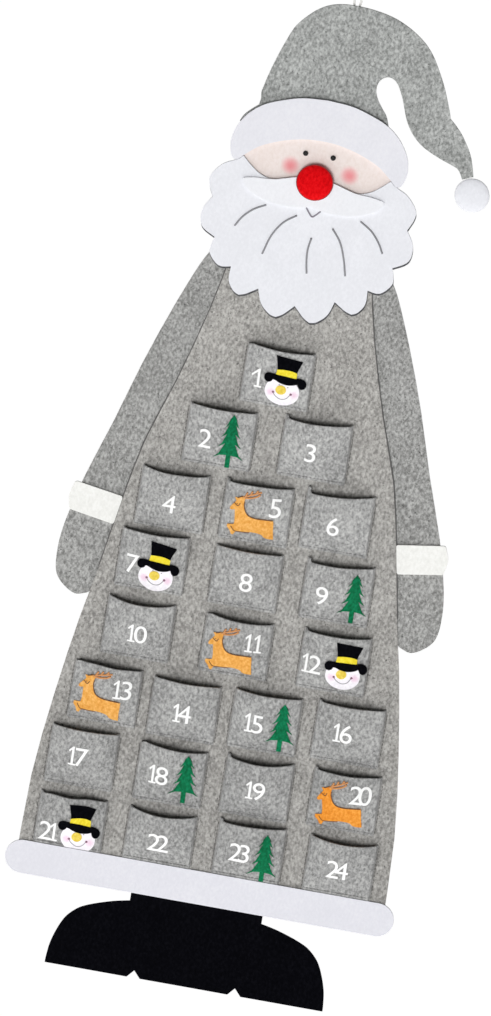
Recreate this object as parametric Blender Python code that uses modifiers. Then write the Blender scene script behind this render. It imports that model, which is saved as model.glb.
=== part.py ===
"""A felt advent calendar: a tall Father Christmas with twenty-four sewn pockets, hung by a cord loop.

The figure stands upright with its front to -Y and its wall side to +Y. The origin is the place on the
nail from which the loop hangs. Every piece is placed from the soles and from the figure's middle line,
and an empty then carries the whole figure down from the nail.
"""

import math

import bmesh
import bpy

# Felts and the space that sewn pieces keep from each other
felt = 0.0025
trim_felt = 0.0025
motif_felt = 0.0012
gap = 0.0003
motif_gap = 0.0006
cut_overrun = 0.0025
merge_distance = gap / 100
right_angle = math.pi / 2
curve_steps = 2
fine_curve_steps = 3

# Pockets, and the columns of each row from the top row down
pocket_width = 0.068
pocket_height = 0.060
pocket_felt = 0.002
pocket_mouth_depth = 0.016
pocket_pleat_depth = 0.007
pocket_pleat_slope = 0.0017
pocket_mouth_sag = 0.0025
pocket_row_gap = 0.00806
pocket_hem_cover = 0.0053
columns_per_row = (1, 2, 3, 3, 3, 4, 4, 4)
pocket_side_gaps = (0.020, 0.023, 0.013, 0.023, 0.027, 0.0115, 0.0175, 0.0205)
pocket_shift_shares = (
    (-0.076, 0.037),
    (-0.084, 0.022), (-0.051, 0.066),
    (-0.087, -0.007), (-0.060, 0.004), (-0.093, 0.066),
    (-0.079, 0.043), (-0.060, 0.029), (-0.079, 0.049),
    (-0.065, 0.021), (-0.035, 0.015), (-0.018, 0.029),
    (-0.029, -0.010), (-0.046, -0.051), (-0.041, -0.018), (-0.007, 0.025),
    (-0.078, -0.006), (-0.043, -0.029), (-0.047, -0.007), (-0.038, 0.034),
    (-0.025, -0.029), (-0.027, -0.013), (-0.029, 0.024), (-0.009, 0.041),
)
pocket_level_shares = (0.0, 0.07, 0.3, 0.62, 1.0)
pocket_column_shares = (-1.0, -0.67, -0.33, 0.0, 0.33, 0.67, 1.0)

# Boots and hem
shoe_height = 0.0765
boots_width = 0.2758
leg_width = 0.1304
boots_tuck = 0.026
notch_offset = 0.050
notch_width = 0.013
notch_height = 0.0075
ankle_height = 0.010
hem_band_height = 0.0335
hem_band_width = 0.3852
hem_band_end_steps = 8

# Gown and arms
gown_hem_width = 0.364
gown_tuck = 0.002
gown_under_beard = 0.117
arm_reach = 0.1899
arm_length = 0.3689
arm_top_drop = 0.058
arm_tuck = 0.012
cuff_drop = 0.336
cuff_height = 0.029
cuff_rise = 0.0075
cuff_reach = 0.1825
cuff_overhang = 0.0045

# Beard, face and hat, stacked up from the top pocket's mouth
beard_to_pocket = 0.0314
beard_width = 0.207
beard_height = 0.1527
moustache_width = 0.139
moustache_height = 0.032
moustache_drop = 0.0415
moustache_felt = 0.002
nose_radius = 0.0175
nose_thickness = 0.007
nose_drop = 0.0129
nose_sides = 24
eye_radius = 0.0023
eye_thickness = 0.002
eye_offset = 0.0135
eye_rise = 0.0128
eye_sides = 12
face_width = 0.156
face_above = 0.036
face_below = 0.029
hat_band_width = 0.174
hat_band_rise = 0.0685
hat_height = 0.1645
hat_reach = 0.150
pompom_radius = 0.017
pompom_thickness = 0.009
pompom_offset = 0.1516
pompom_drop = 0.0005
pompom_sides = 20
dome_wall_share = 0.33
dome_rings = 4

# Hanging loop: a cord along a hand-laid route, from its sewn end beside the crown's middle
loop_offset = 0.012
cord_radius = 0.00125
loop_route = (
    (-0.0028, -0.0080),
    (-0.0028, 0.0000),
    (-0.0046, 0.0100),
    (-0.0074, 0.0200),
    (-0.0062, 0.0285),
    (0.0000, 0.0330),
    (0.0062, 0.0285),
    (0.0074, 0.0200),
    (0.0046, 0.0100),
    (0.0028, 0.0000),
    (0.0028, -0.0080),
)

# Felt motifs on the pockets
snowman_width = 0.0417
snowman_height = 0.0512
snowman_head_width = 0.0345
snowman_head_height = 0.030
snowman_head_sides = 20
snowman_nose_width = 0.0115
snowman_nose_height = 0.0105
snowman_nose_sides = 10
snowman_tilts = (0.0, math.radians(6), math.radians(-4), 0.0)
tree_width = 0.0255
tree_height = 0.053
tree_tiers = 5
tree_trunk_width = 0.005
tree_trunk_height = 0.009
tree_tip_width = 0.003
tree_waist_share = 0.55
tree_barb_shares = (0.8, 0.4)
deer_width = 0.0472
deer_height = 0.045
deer_tilts = (0.0, 0.0, math.radians(6), math.radians(-3))
snowman_drops = (0.0050, 0.0054, 0.0045, 0.0005)
tree_drops = (0.0051, 0.0047, 0.0032, 0.0022, 0.0027)
deer_drops = (0.0078, 0.0085, 0.0068, 0.0098)
snowmen_on = (1, 7, 12, 21)
trees_on = (2, 9, 15, 18, 23)
deer_on = (5, 11, 13, 20)
snowman_offset_shares = (0.24, 0.20, 0.36, 0.28)
tree_offset_shares = (0.33, 0.53, 0.51, 0.46, 0.47)
deer_offset_shares = (-0.08, -0.11, -0.13, -0.07)

# Heights above the soles, each worked out from what it rests on
hem_bottom = shoe_height + ankle_height
hem_top = hem_bottom + hem_band_height
row_pitch = pocket_height + pocket_row_gap
lowest_mouth = hem_top + gap + pocket_height - pocket_hem_cover
highest_mouth = lowest_mouth + row_pitch * (len(columns_per_row) - 1)
beard_bottom = highest_mouth + beard_to_pocket
face_corner = beard_bottom + beard_height
gown_bottom = hem_bottom + gown_tuck
gown_top = beard_bottom + gown_under_beard
crown_top = face_corner + hat_height
loop_top = max(up for across, up in loop_route)
nail_height = crown_top + loop_top - cord_radius

# Depths in front of the wall side, from the rear layer of felt to the foremost
front_of_back = felt + gap
front_of_gown = front_of_back + felt + gap
front_of_trim = front_of_gown + trim_felt + gap
front_of_moustache = front_of_trim + moustache_felt + gap

# Shares of each outline, from its own width and height
gown_edge_shares = (
    (1.000, 0.000), (0.988, 0.136), (0.936, 0.256), (0.868, 0.368), (0.808, 0.445), (0.739, 0.548),
    (0.668, 0.635), (0.558, 0.721), (0.440, 0.831), (0.374, 0.916), (0.319, 1.000),
)
arm_outer_shares = (
    (0.448, 1.000), (0.509, 0.946), (0.615, 0.810), (0.724, 0.648), (0.820, 0.482), (0.922, 0.320),
    (0.987, 0.181), (1.000, 0.100), (0.984, 0.046), (0.928, 0.014), (0.866, 0.000), (0.806, 0.012),
)
arm_inner_level_shares = (0.08, 0.3, 0.5, 0.7, 0.88, 1.0)
shoe_shares = (
    (0.473, 1.000), (0.578, 0.959), (0.694, 0.894), (0.784, 0.829), (0.843, 0.762), (0.910, 0.631),
    (0.959, 0.434), (0.989, 0.235), (1.000, 0.039),
)
beard_lobe_shares = (
    ((0.781, 0.961), (0.889, 0.918), (0.981, 0.820), (0.923, 0.705)),
    ((0.923, 0.705), (1.000, 0.610), (0.981, 0.506), (0.844, 0.447)),
    ((0.844, 0.447), (0.870, 0.348), (0.768, 0.269), (0.649, 0.275)),
    ((0.649, 0.275), (0.643, 0.172), (0.535, 0.101), (0.363, 0.163)),
    ((0.363, 0.163), (0.304, 0.060), (0.159, 0.000), (0.000, 0.092)),
)
beard_top_shares = ((0.000, 0.833), (0.193, 0.846), (0.396, 0.889), (0.551, 0.935), (0.696, 1.000))
band_outer_shares = (
    (0.000, 1.000), (0.264, 0.975), (0.483, 0.898), (0.690, 0.788), (0.851, 0.620), (0.966, 0.387),
    (1.000, 0.168), (0.975, 0.007),
)
band_end_shares = ((0.975, 0.007), (0.945, -0.055), (0.890, -0.060), (0.828, 0.015))
band_inner_shares = ((0.828, 0.015), (0.667, 0.182), (0.425, 0.317), (0.184, 0.391), (0.000, 0.406))
moustache_upper_shares = ((0.000, 1.000), (0.259, 0.947), (0.561, 0.762), (0.791, 0.725), (0.950, 0.672))
moustache_tip_shares = ((0.950, 0.672), (0.985, 0.650), (1.000, 0.600), (0.985, 0.520))
moustache_lower_shares = (
    (0.985, 0.520), (0.921, 0.344), (0.791, 0.188), (0.576, 0.041), (0.345, 0.000), (0.129, 0.038),
    (0.000, 0.141),
)
hat_left_shares = (
    (-0.413, -0.386), (-0.510, -0.277), (-0.555, -0.125), (-0.572, 0.040), (-0.567, 0.161),
    (-0.533, 0.246), (-0.450, 0.319),
)
hat_crown_shares = (
    (-0.450, 0.319), (-0.437, 0.392), (-0.400, 0.535), (-0.333, 0.720), (-0.267, 0.842), (-0.118, 0.964),
    (0.073, 1.000), (0.344, 0.964), (0.564, 0.842), (0.695, 0.660), (0.775, 0.483), (0.793, 0.429),
)
hat_tail_shares = ((0.793, 0.429), (0.877, 0.351), (0.960, 0.228), (0.999, 0.106))
hat_slot_shares = (
    (0.930, 0.079), (0.890, 0.137), (0.787, 0.173), (0.656, 0.228), (0.571, 0.295), (0.513, 0.380),
    (0.473, 0.483), (0.420, 0.581), (0.360, 0.611), (0.307, 0.581), (0.292, 0.520), (0.320, 0.453),
    (0.387, 0.374), (0.467, 0.289),
)
hat_right_shares = (
    (0.467, 0.289), (0.547, 0.161), (0.560, 0.040), (0.535, -0.125), (0.480, -0.277), (0.387, -0.386),
)
face_shares = (
    (0.00, 1.00), (0.60, 0.80), (0.95, 0.35), (1.00, 0.00), (0.90, -0.50), (0.55, -0.85), (0.00, -1.00),
)
snowman_crown_shares = ((0.000, 1.000), (0.315, 1.000), (0.245, 0.580), (0.000, 0.580))
snowman_ribbon_shares = ((0.000, 0.710), (0.270, 0.680), (0.262, 0.600), (0.000, 0.590))
snowman_brim_shares = (
    (0.000, 0.594), (0.250, 0.610), (0.380, 0.665), (0.470, 0.650), (0.500, 0.550), (0.470, 0.430),
    (0.400, 0.400), (0.340, 0.475), (0.250, 0.465), (0.000, 0.449),
)
snowman_nose_place_shares = (-0.045, 0.32)
snowman_layer_shares = (0.0, 0.25, 0.5, 0.75, 0.5)
deer_shares = (
    (-0.500, 0.600), (-0.445, 0.685), (-0.385, 0.775), (-0.398, 0.840), (-0.335, 0.865), (-0.205, 0.910),
    (-0.165, 0.970), (-0.120, 0.935), (-0.075, 1.000), (-0.025, 0.960), (0.040, 1.000), (0.075, 0.955),
    (0.135, 0.968), (0.108, 0.895), (0.027, 0.848), (-0.083, 0.848), (-0.165, 0.832), (-0.193, 0.770),
    (-0.188, 0.672), (-0.160, 0.560), (-0.095, 0.456), (0.013, 0.387), (0.150, 0.368), (0.286, 0.370),
    (0.424, 0.391), (0.445, 0.352), (0.453, 0.241), (0.473, 0.127), (0.500, 0.000), (0.411, 0.000),
    (0.286, 0.014), (0.240, 0.076), (0.095, 0.104), (-0.070, 0.076), (-0.212, 0.035), (-0.300, 0.048),
    (-0.350, 0.083), (-0.438, 0.104), (-0.445, 0.153), (-0.378, 0.192), (-0.310, 0.208), (-0.314, 0.287),
    (-0.335, 0.400), (-0.354, 0.495), (-0.362, 0.556), (-0.438, 0.567),
)


def clear_scene():
    for leftover in list(bpy.data.objects):
        bpy.data.objects.remove(leftover, do_unlink=True)


def new_collection(name):
    collection = bpy.data.collections.new(name)
    bpy.context.scene.collection.children.link(collection)
    return collection


def material(name, colour, roughness, metallic=0.0):
    finish = bpy.data.materials.new(name)
    finish.use_nodes = True
    shader = finish.node_tree.nodes["Principled BSDF"]
    shader.inputs["Base Color"].default_value = (*colour, 1.0)
    shader.inputs["Roughness"].default_value = roughness
    shader.inputs["Metallic"].default_value = metallic
    finish.diffuse_color = (*colour, 1.0)
    return finish


def sized(shares, width, height, base=0.0):
    """Turns shares into places: across by the width, and up by the height from the base."""
    return [(across * width, base + up * height) for across, up in shares]


def between(before, start, end, after, part):
    """One number of a smooth curve that passes through start and end."""
    bend = (2 * start, end - before, 2 * before - 5 * start + 4 * end - after,
            3 * start - before - 3 * end + after)
    return sum(factor * part ** power for power, factor in enumerate(bend)) / 2


def smooth(points, steps=fine_curve_steps):
    """A smooth open curve through the points, with this many stretches between two of them."""
    line = [points[0], *points, points[-1]]
    curve = [points[0]]
    for before, start, end, after in zip(line, line[1:], line[2:], line[3:]):
        for step in range(1, steps + 1):
            part = step / steps
            curve.append(tuple(between(*each, part) for each in zip(before, start, end, after)))
    return curve


def joined(*curves):
    """Curves laid end to end, where a shared end counts once."""
    outline = []
    for curve in curves:
        for point in curve:
            if not outline or math.dist(outline[-1], point) > merge_distance:
                outline.append(point)
    return outline


def mirrored(half):
    """A whole outline from the half at the figure's left hand, from top middle to bottom middle."""
    other = [(-across, up) for across, up in reversed(half) if across > gap]
    return list(half) + other


def grown(outline, amount):
    """The outline moved outwards by this amount at each point."""
    area = sum(a[0] * b[1] - b[0] * a[1] for a, b in zip(outline, outline[1:] + outline[:1]))
    turn = math.copysign(amount, area)
    moved = []
    for index, point in enumerate(outline):
        before, after = outline[index - 1], outline[(index + 1) % len(outline)]
        run, rise = after[0] - before[0], after[1] - before[1]
        length = math.hypot(run, rise)
        moved.append((point[0] + turn * rise / length, point[1] - turn * run / length))
    return moved


def ellipse(centre, width, height, count):
    angles = [2 * math.pi * index / count for index in range(count)]
    return [
        (centre[0] + width / 2 * math.cos(angle), centre[1] + height / 2 * math.sin(angle))
        for angle in angles
    ]


def flat_piece(name, outline, back, thickness, finish, collection):
    """A flat piece cut to an outline, standing with its rear face this far in front of the wall side."""
    curve = bpy.data.curves.new(name, "CURVE")
    curve.dimensions = "2D"
    curve.fill_mode = "BOTH"
    curve.extrude = thickness / 2
    spline = curve.splines.new("POLY")
    spline.points.add(len(outline) - 1)
    for point, (across, up) in zip(spline.points, outline):
        point.co = (across, up, 0, 1)
    spline.use_cyclic_u = True
    piece = bpy.data.objects.new(name, curve)
    piece.rotation_euler = (right_angle, 0, 0)
    piece.location = (0, -back - thickness / 2, 0)
    curve.materials.append(finish)
    collection.objects.link(piece)
    return piece


def meshed(piece):
    """The same piece as a closed mesh with its place in its points, for cutting and joining."""
    bpy.context.view_layer.update()
    evaluated = piece.evaluated_get(bpy.context.evaluated_depsgraph_get())
    mesh = bpy.data.meshes.new_from_object(evaluated)
    mesh.transform(piece.matrix_world)
    clean = bmesh.new()
    clean.from_mesh(mesh)
    bmesh.ops.remove_doubles(clean, verts=clean.verts, dist=merge_distance)
    bmesh.ops.recalc_face_normals(clean, faces=clean.faces)
    clean.to_mesh(mesh)
    clean.free()
    name, collections = piece.name, list(piece.users_collection)
    bpy.data.objects.remove(piece, do_unlink=True)
    solid = bpy.data.objects.new(name, mesh)
    for collection in collections:
        collection.objects.link(solid)
    return solid


def apply_boolean(piece, other, operation):
    """Cuts or joins the other mesh and keeps the result in the piece's own mesh."""
    modifier = piece.modifiers.new(operation.lower(), "BOOLEAN")
    modifier.operation = operation
    modifier.object = other
    modifier.solver = "EXACT"
    bpy.context.view_layer.update()
    result = bpy.data.meshes.new_from_object(
        piece.evaluated_get(bpy.context.evaluated_depsgraph_get())
    )
    piece.modifiers.remove(modifier)
    piece.data = result


def domed_disc(name, radius, thickness, place, finish, collection, sides):
    """A flat-backed disc with a domed front, turned round the axis that points to the front."""
    wall = thickness * dome_wall_share
    mesh = bpy.data.meshes.new(name)
    profile = bmesh.new()
    for ring in range(dome_rings + 1):
        angle = right_angle * ring / dome_rings
        rise = wall + (thickness - wall) * math.cos(angle)
        profile.verts.new((radius * math.sin(angle), 0, rise))
    profile.verts.new((radius, 0, 0))
    profile.verts.new((0, 0, 0))
    profile.verts.ensure_lookup_table()
    for first, second in zip(profile.verts[:], profile.verts[1:]):
        profile.edges.new((first, second))
    profile.to_mesh(mesh)
    profile.free()
    disc = bpy.data.objects.new(name, mesh)
    turn = disc.modifiers.new("turn", "SCREW")
    turn.steps = sides
    turn.render_steps = sides
    turn.use_merge_vertices = True
    turn.merge_threshold = merge_distance
    disc.rotation_euler = (right_angle, 0, 0)
    disc.location = (place[0], -place[1], place[2])
    mesh.materials.append(finish)
    collection.objects.link(disc)
    return disc


def gown_edge():
    half = gown_hem_width / 2
    return smooth(sized(gown_edge_shares, half, gown_top - gown_bottom, gown_bottom), curve_steps)


def gown_half_width(height):
    """How far the gown's side edge lies from the middle at this height."""
    edge = gown_edge()
    for lower, upper in zip(edge, edge[1:]):
        if lower[1] <= height <= upper[1]:
            part = (height - lower[1]) / (upper[1] - lower[1])
            return lower[0] + part * (upper[0] - lower[0])
    return edge[0][0] if height < edge[0][1] else edge[-1][0]


def make_gown(finish, collection):
    edge = gown_edge()
    outline = mirrored(list(reversed(edge)))
    return flat_piece("gown_panel", outline, front_of_back, felt, finish, collection)


def half_turned(outline, side):
    return [(side * across, up) for across, up in outline]


def make_arm(name, side, finish, collection):
    """An arm sewn behind the gown's edge, with a mitten at its end."""
    top = gown_top - arm_top_drop
    bottom = top - arm_length
    outer = smooth(sized(arm_outer_shares, arm_reach, arm_length, bottom), curve_steps)
    levels = [bottom + share * arm_length for share in arm_inner_level_shares]
    inner = [(gown_half_width(level) - arm_tuck, level) for level in levels]
    outline = half_turned(joined(outer, inner), side)
    return flat_piece(name, outline, 0.0, felt, finish, collection)


def make_cuff(name, side, finish, collection):
    """A white band across the sleeve, cut at the gown's edge and standing past the sleeve's edge."""
    middle = gown_top - cuff_drop
    low, high = middle - cuff_height / 2, middle + cuff_height / 2
    end = [
        (cuff_reach, high + cuff_rise),
        (cuff_reach + cuff_overhang, middle + cuff_rise),
        (cuff_reach + cuff_overhang / 2, low + cuff_rise),
    ]
    inner = [(gown_half_width(low) + gap, low), (gown_half_width(high) + gap, high)]
    outline = half_turned(joined(smooth(end), inner), side)
    return flat_piece(name, outline, front_of_back, trim_felt, finish, collection)


def make_hem_band(finish, collection):
    radius = hem_band_height / 2
    centre = hem_band_width / 2 - radius
    angles = [
        right_angle - math.pi * step / hem_band_end_steps for step in range(hem_band_end_steps + 1)
    ]
    end = [
        (centre + radius * math.cos(angle), hem_bottom + radius + radius * math.sin(angle))
        for angle in angles
    ]
    half = [(0.0, hem_top), *end, (0.0, hem_bottom)]
    return flat_piece("hem_band", mirrored(half), front_of_gown, trim_felt, finish, collection)


def make_boots(finish, collection):
    """Both boots in one piece of black felt, with a notch in the sole at each heel."""
    top = hem_bottom + boots_tuck
    shoe = smooth(sized(shoe_shares, boots_width / 2, shoe_height), curve_steps)
    sole = [
        (boots_width / 2, 0.0),
        (notch_offset + notch_width / 2, 0.0),
        (notch_offset, notch_height),
        (notch_offset - notch_width / 2, 0.0),
        (0.0, 0.0),
    ]
    half = [(0.0, top), (leg_width / 2, top), *shoe, *sole]
    return flat_piece("boots", mirrored(half), 0.0, felt, finish, collection)


def hat_band_outline():
    half_width = hat_band_width / 2
    curves = (band_outer_shares, band_end_shares, band_inner_shares)
    return mirrored(joined(*[
        smooth(sized(each, half_width, hat_band_rise, face_corner)) for each in curves
    ]))


def make_hat_band(finish, collection):
    outline = hat_band_outline()
    return flat_piece("hat_band", outline, front_of_gown, trim_felt, finish, collection)


def make_beard(finish, collection, cutters):
    """The scalloped beard, cut round the ends of the hat's band."""
    half_width = beard_width / 2
    lobes = [
        smooth(sized(each, half_width, beard_height, beard_bottom)) for each in beard_lobe_shares
    ]
    top = smooth(sized(beard_top_shares, half_width, beard_height, beard_bottom), curve_steps)
    outline = mirrored(joined(top, *lobes))
    beard = meshed(flat_piece("beard", outline, front_of_gown, trim_felt, finish, collection))
    room = grown(hat_band_outline(), gap)
    cutter = meshed(flat_piece(
        "band_room", room, front_of_gown - cut_overrun, trim_felt + 2 * cut_overrun, finish, cutters
    ))
    apply_boolean(beard, cutter, "DIFFERENCE")
    hide_cutter(cutter)
    return beard


def make_face(finish, collection):
    """The skin-coloured felt between hat band and beard, with its hidden margin under both."""
    half = face_width / 2
    outline = [
        (across * half, face_corner + up * (face_above if up > 0 else face_below))
        for across, up in face_shares
    ]
    return flat_piece("face", mirrored(smooth(outline)), front_of_back, felt, finish, collection)


def make_moustache(finish, collection):
    base = face_corner - moustache_drop
    curves = (moustache_upper_shares, moustache_tip_shares, moustache_lower_shares)
    half = joined(*[
        smooth(sized(each, moustache_width / 2, moustache_height, base), curve_steps)
        for each in curves
    ])
    return flat_piece(
        "moustache", mirrored(half), front_of_trim, moustache_felt, finish, collection
    )


def make_hat(finish, collection):
    """The hat with its hanging tail, which runs on down behind the band and face as the head's backing."""
    curves = (
        (hat_left_shares, curve_steps),
        (hat_crown_shares, fine_curve_steps),
        (hat_tail_shares, curve_steps),
        (hat_slot_shares, curve_steps),
        (hat_right_shares, curve_steps),
    )
    outline = joined(
        *[smooth(sized(shares, hat_reach, hat_height, face_corner), steps) for shares, steps in curves]
    )
    return flat_piece("hat", outline, 0.0, felt, finish, collection)


def make_loop(finish, collection):
    """The cord loop behind the crown. Both ends are sewn to the hat, and the origin is at its hinge line."""
    line = smooth(loop_route)
    curve = bpy.data.curves.new("hanging_loop", "CURVE")
    curve.dimensions = "3D"
    curve.bevel_depth = cord_radius
    curve.bevel_resolution = 2
    curve.use_fill_caps = True
    spline = curve.splines.new("POLY")
    spline.points.add(len(line) - 1)
    sewn_end = line[0][1]
    for point, (across, up) in zip(spline.points, line):
        point.co = (across, 0, up - sewn_end, 1)
    loop = bpy.data.objects.new("hanging_loop", curve)
    loop.location = (loop_offset, gap + cord_radius, crown_top + sewn_end)
    curve.materials.append(finish)
    collection.objects.link(loop)
    return loop


def opening_share(level):
    """How far open the pocket is at this share of its height: shut at the bottom seam, open at the mouth."""
    seam = pocket_level_shares[1]
    above = max(level - seam, 0.0) / (1.0 - seam)
    return 1.0 - (1.0 - above) ** 2


def pocket_depth(across, level):
    """How far the pocket's front stands off the gown, with both places as shares."""
    opened = opening_share(level)
    pleat = pocket_felt + (pocket_pleat_depth - pocket_felt) * opened
    middle = pocket_felt + (pocket_mouth_depth - pocket_felt) * opened
    return pleat + (middle - pleat) * (1.0 - across**2)


def pocket_drop(across, level):
    """How far the front hangs below the level of its seams."""
    return pocket_mouth_sag * level * (1.0 - across**2)


def pocket_ring(level, height):
    """The pocket's outside and inside points at one level, from its left seam to its right."""
    half = pocket_width / 2
    front = half - pocket_pleat_slope
    up = level * height
    outside, inside = [(-half, 0.0, up)], [(pocket_felt - half, 0.0, up)]
    for share in pocket_column_shares:
        depth = pocket_depth(share, level)
        rise = up - pocket_drop(share, level)
        outside.append((share * front, -depth, rise))
        inside.append((share * (front - pocket_felt), pocket_felt - depth, rise))
    outside.append((half, 0.0, up))
    inside.append((half - pocket_felt, 0.0, up))
    return outside, inside


def pocket_mesh(name, height, finish):
    """A pleated pocket lofted through its levels, open at the mouth and on the gown's side."""
    shell = bmesh.new()
    rings = []
    for level in pocket_level_shares:
        outside, inside = pocket_ring(level, height)
        rings.append([[shell.verts.new(place) for place in side] for side in (outside, inside)])
    for (low_out, low_in), (high_out, high_in) in zip(rings, rings[1:]):
        lofted_wall(shell, low_out, high_out)
        lofted_wall(shell, high_in, low_in)
        shell.faces.new((low_in[0], low_out[0], high_out[0], high_in[0]))
        shell.faces.new((low_out[-1], low_in[-1], high_in[-1], high_out[-1]))
    lofted_wall(shell, rings[0][1], rings[0][0])
    lofted_wall(shell, rings[-1][0], rings[-1][1])
    mesh = bpy.data.meshes.new(name)
    shell.to_mesh(mesh)
    shell.free()
    mesh.materials.append(finish)
    return mesh


def lofted_wall(shell, first, second):
    for index in range(len(first) - 1):
        shell.faces.new((first[index], first[index + 1], second[index + 1], second[index]))


def pocket_places():
    """Each pocket's middle, the height of its bottom, and its own height, numbered from the top row down.

    They are sewn on by eye, so each sits a little off the grid, by its shares of the pocket's width. Those of
    the lowest row keep their bottom at the hem band, and are longer or shorter instead.
    """
    places = []
    mouth = highest_mouth
    for row, count in enumerate(columns_per_row):
        pitch = pocket_width + pocket_side_gaps[row]
        last = row == len(columns_per_row) - 1
        for column in range(count):
            across, up = [share * pocket_width for share in pocket_shift_shares[len(places)]]
            middle = pitch * (column - (count - 1) / 2) + across
            if last:
                height = pocket_height - pocket_hem_cover + up
                places.append((middle, mouth + up - height, height))
            else:
                places.append((middle, mouth + up - pocket_height, pocket_height))
        mouth -= row_pitch
    return places


def make_pockets(finish, collection):
    meshes = {}
    for number, (middle, bottom, height) in enumerate(pocket_places(), 1):
        if height not in meshes:
            meshes[height] = pocket_mesh("pocket", height, finish)
        pocket = bpy.data.objects.new(f"pocket_{number:02d}", meshes[height])
        pocket.location = (middle, -front_of_gown, bottom)
        collection.objects.link(pocket)


def tree_outline():
    """Five ragged tiers that narrow to the tip, on a short trunk. The trunk's foot is at zero."""
    tier_height = (tree_height - tree_trunk_height) / tree_tiers
    half = [(tree_trunk_width / 2, 0.0), (tree_trunk_width / 2, tree_trunk_height)]
    for tier in range(tree_tiers):
        left = 1.0 - tier / tree_tiers
        skirt = tree_tip_width / 2 + (tree_width - tree_tip_width) / 2 * left
        foot = tree_trunk_height + tier * tier_height
        barb_width, barb_rise = tree_barb_shares
        half.append((skirt, foot))
        half.append((skirt * barb_width, foot + tier_height * barb_rise))
        half.append((skirt * tree_waist_share, foot + tier_height))
    half[-1] = (tree_tip_width / 4, tree_height)
    return half + [(-across, up) for across, up in reversed(half)]


def snowman_layers(tilt):
    """Outlines of head, top hat's crown, its brim and ribbon, and nose, each with its two depths."""
    head_place = (0.0, snowman_head_height / 2)
    head = ellipse(head_place, snowman_head_width, snowman_head_height, snowman_head_sides)
    nose_place = sized((snowman_nose_place_shares,), snowman_width, snowman_height)[0]
    nose = ellipse(nose_place, snowman_nose_width, snowman_nose_height, snowman_nose_sides)
    crown, brim, ribbon = [
        sized(shares, snowman_width, snowman_height)
        for shares in (snowman_crown_shares, snowman_brim_shares, snowman_ribbon_shares)
    ]
    outlines = (head, mirrored(crown), mirrored(smooth(brim, curve_steps)), mirrored(ribbon), nose)
    backs = [share * motif_felt for share in snowman_layer_shares]
    return [
        (turned(outline, head_place, tilt), back, back + motif_felt)
        for outline, back in zip(outlines, backs)
    ]


def turned(outline, centre, angle):
    """The outline turned clockwise about the centre, as the front shows it."""
    cosine, sine = math.cos(angle), math.sin(angle)
    steps = [(across - centre[0], up - centre[1]) for across, up in outline]
    return [
        (centre[0] + across * cosine + up * sine, centre[1] + up * cosine - across * sine)
        for across, up in steps
    ]


def slice_at_creases(solid, height):
    """Adds edges along the pocket's columns and levels, so that the piece can bend with them."""
    front = pocket_width / 2 - pocket_pleat_slope
    cuts = [((share * front, 0, 0), (1, 0, 0)) for share in pocket_column_shares]
    cuts += [((0, 0, share * height), (0, 0, 1)) for share in pocket_level_shares]
    for place, normal in cuts:
        everything = solid.verts[:] + solid.edges[:] + solid.faces[:]
        bmesh.ops.bisect_plane(solid, geom=everything, plane_co=place, plane_no=normal)


def lay_on_pocket(piece, place, offset, lift):
    """Moves a flat motif onto its pocket and bends it round the pocket's bowed front."""
    middle, bottom, height = place
    front = pocket_width / 2 - pocket_pleat_slope
    solid = bmesh.new()
    solid.from_mesh(piece.data)
    bmesh.ops.translate(solid, verts=solid.verts, vec=(offset, 0, lift))
    slice_at_creases(solid, height)
    for vert in solid.verts:
        share, level = vert.co.x / front, vert.co.z / height
        vert.co.y -= pocket_depth(share, level) + motif_gap
        vert.co.z -= pocket_drop(share, level)
    solid.to_mesh(piece.data)
    solid.free()
    piece.location = (middle, -front_of_gown, bottom)


def make_motif(name, layers, place, offset, lift, finish, collection, cutters):
    """One die-cut motif: its layers of felt are glued into one piece and laid on the pocket."""
    pieces = []
    for index, (outline, back, front) in enumerate(layers):
        home = cutters if index else collection
        label = name if index == 0 else f"{name}_layer_{index}"
        pieces.append(meshed(flat_piece(label, outline, back, front - back, finish, home)))
    motif = pieces[0]
    for layer in pieces[1:]:
        apply_boolean(motif, layer, "UNION")
        bpy.data.objects.remove(layer, do_unlink=True)
    lay_on_pocket(motif, place, offset, lift)
    motif.data.materials.clear()
    motif.data.materials.append(finish)
    return motif


def make_motifs(finishes, collection, cutters):
    """The motifs that decorate a part of the pockets, each hung this far below its pocket's mouth."""
    deer_outline, deer_middle = sized(deer_shares, deer_width, deer_height), (0.0, deer_height / 2)
    deer = [[(turned(deer_outline, deer_middle, tilt), 0.0, motif_felt)] for tilt in deer_tilts]
    tree = [(tree_outline(), 0.0, motif_felt)]
    snowmen = [snowman_layers(tilt) for tilt in snowman_tilts]
    kinds = (
        ("snowman", snowmen_on, snowman_offset_shares, snowman_drops, snowmen, snowman_height),
        ("tree", trees_on, tree_offset_shares, tree_drops, [tree] * len(trees_on), tree_height),
        ("reindeer", deer_on, deer_offset_shares, deer_drops, deer, deer_height),
    )
    places = pocket_places()
    for kind, numbers, offsets, drops, looks, tall in kinds:
        for count, (number, share, drop, layers) in enumerate(zip(numbers, offsets, drops, looks), 1):
            place = places[number - 1]
            offset, lift = share * pocket_width / 2, place[2] - drop - tall
            name = f"{kind}_{count}"
            make_motif(name, layers, place, offset, lift, finishes[kind], collection, cutters)


def hide_cutter(cutter):
    cutter.hide_render = True
    cutter.display_type = "WIRE"


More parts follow.
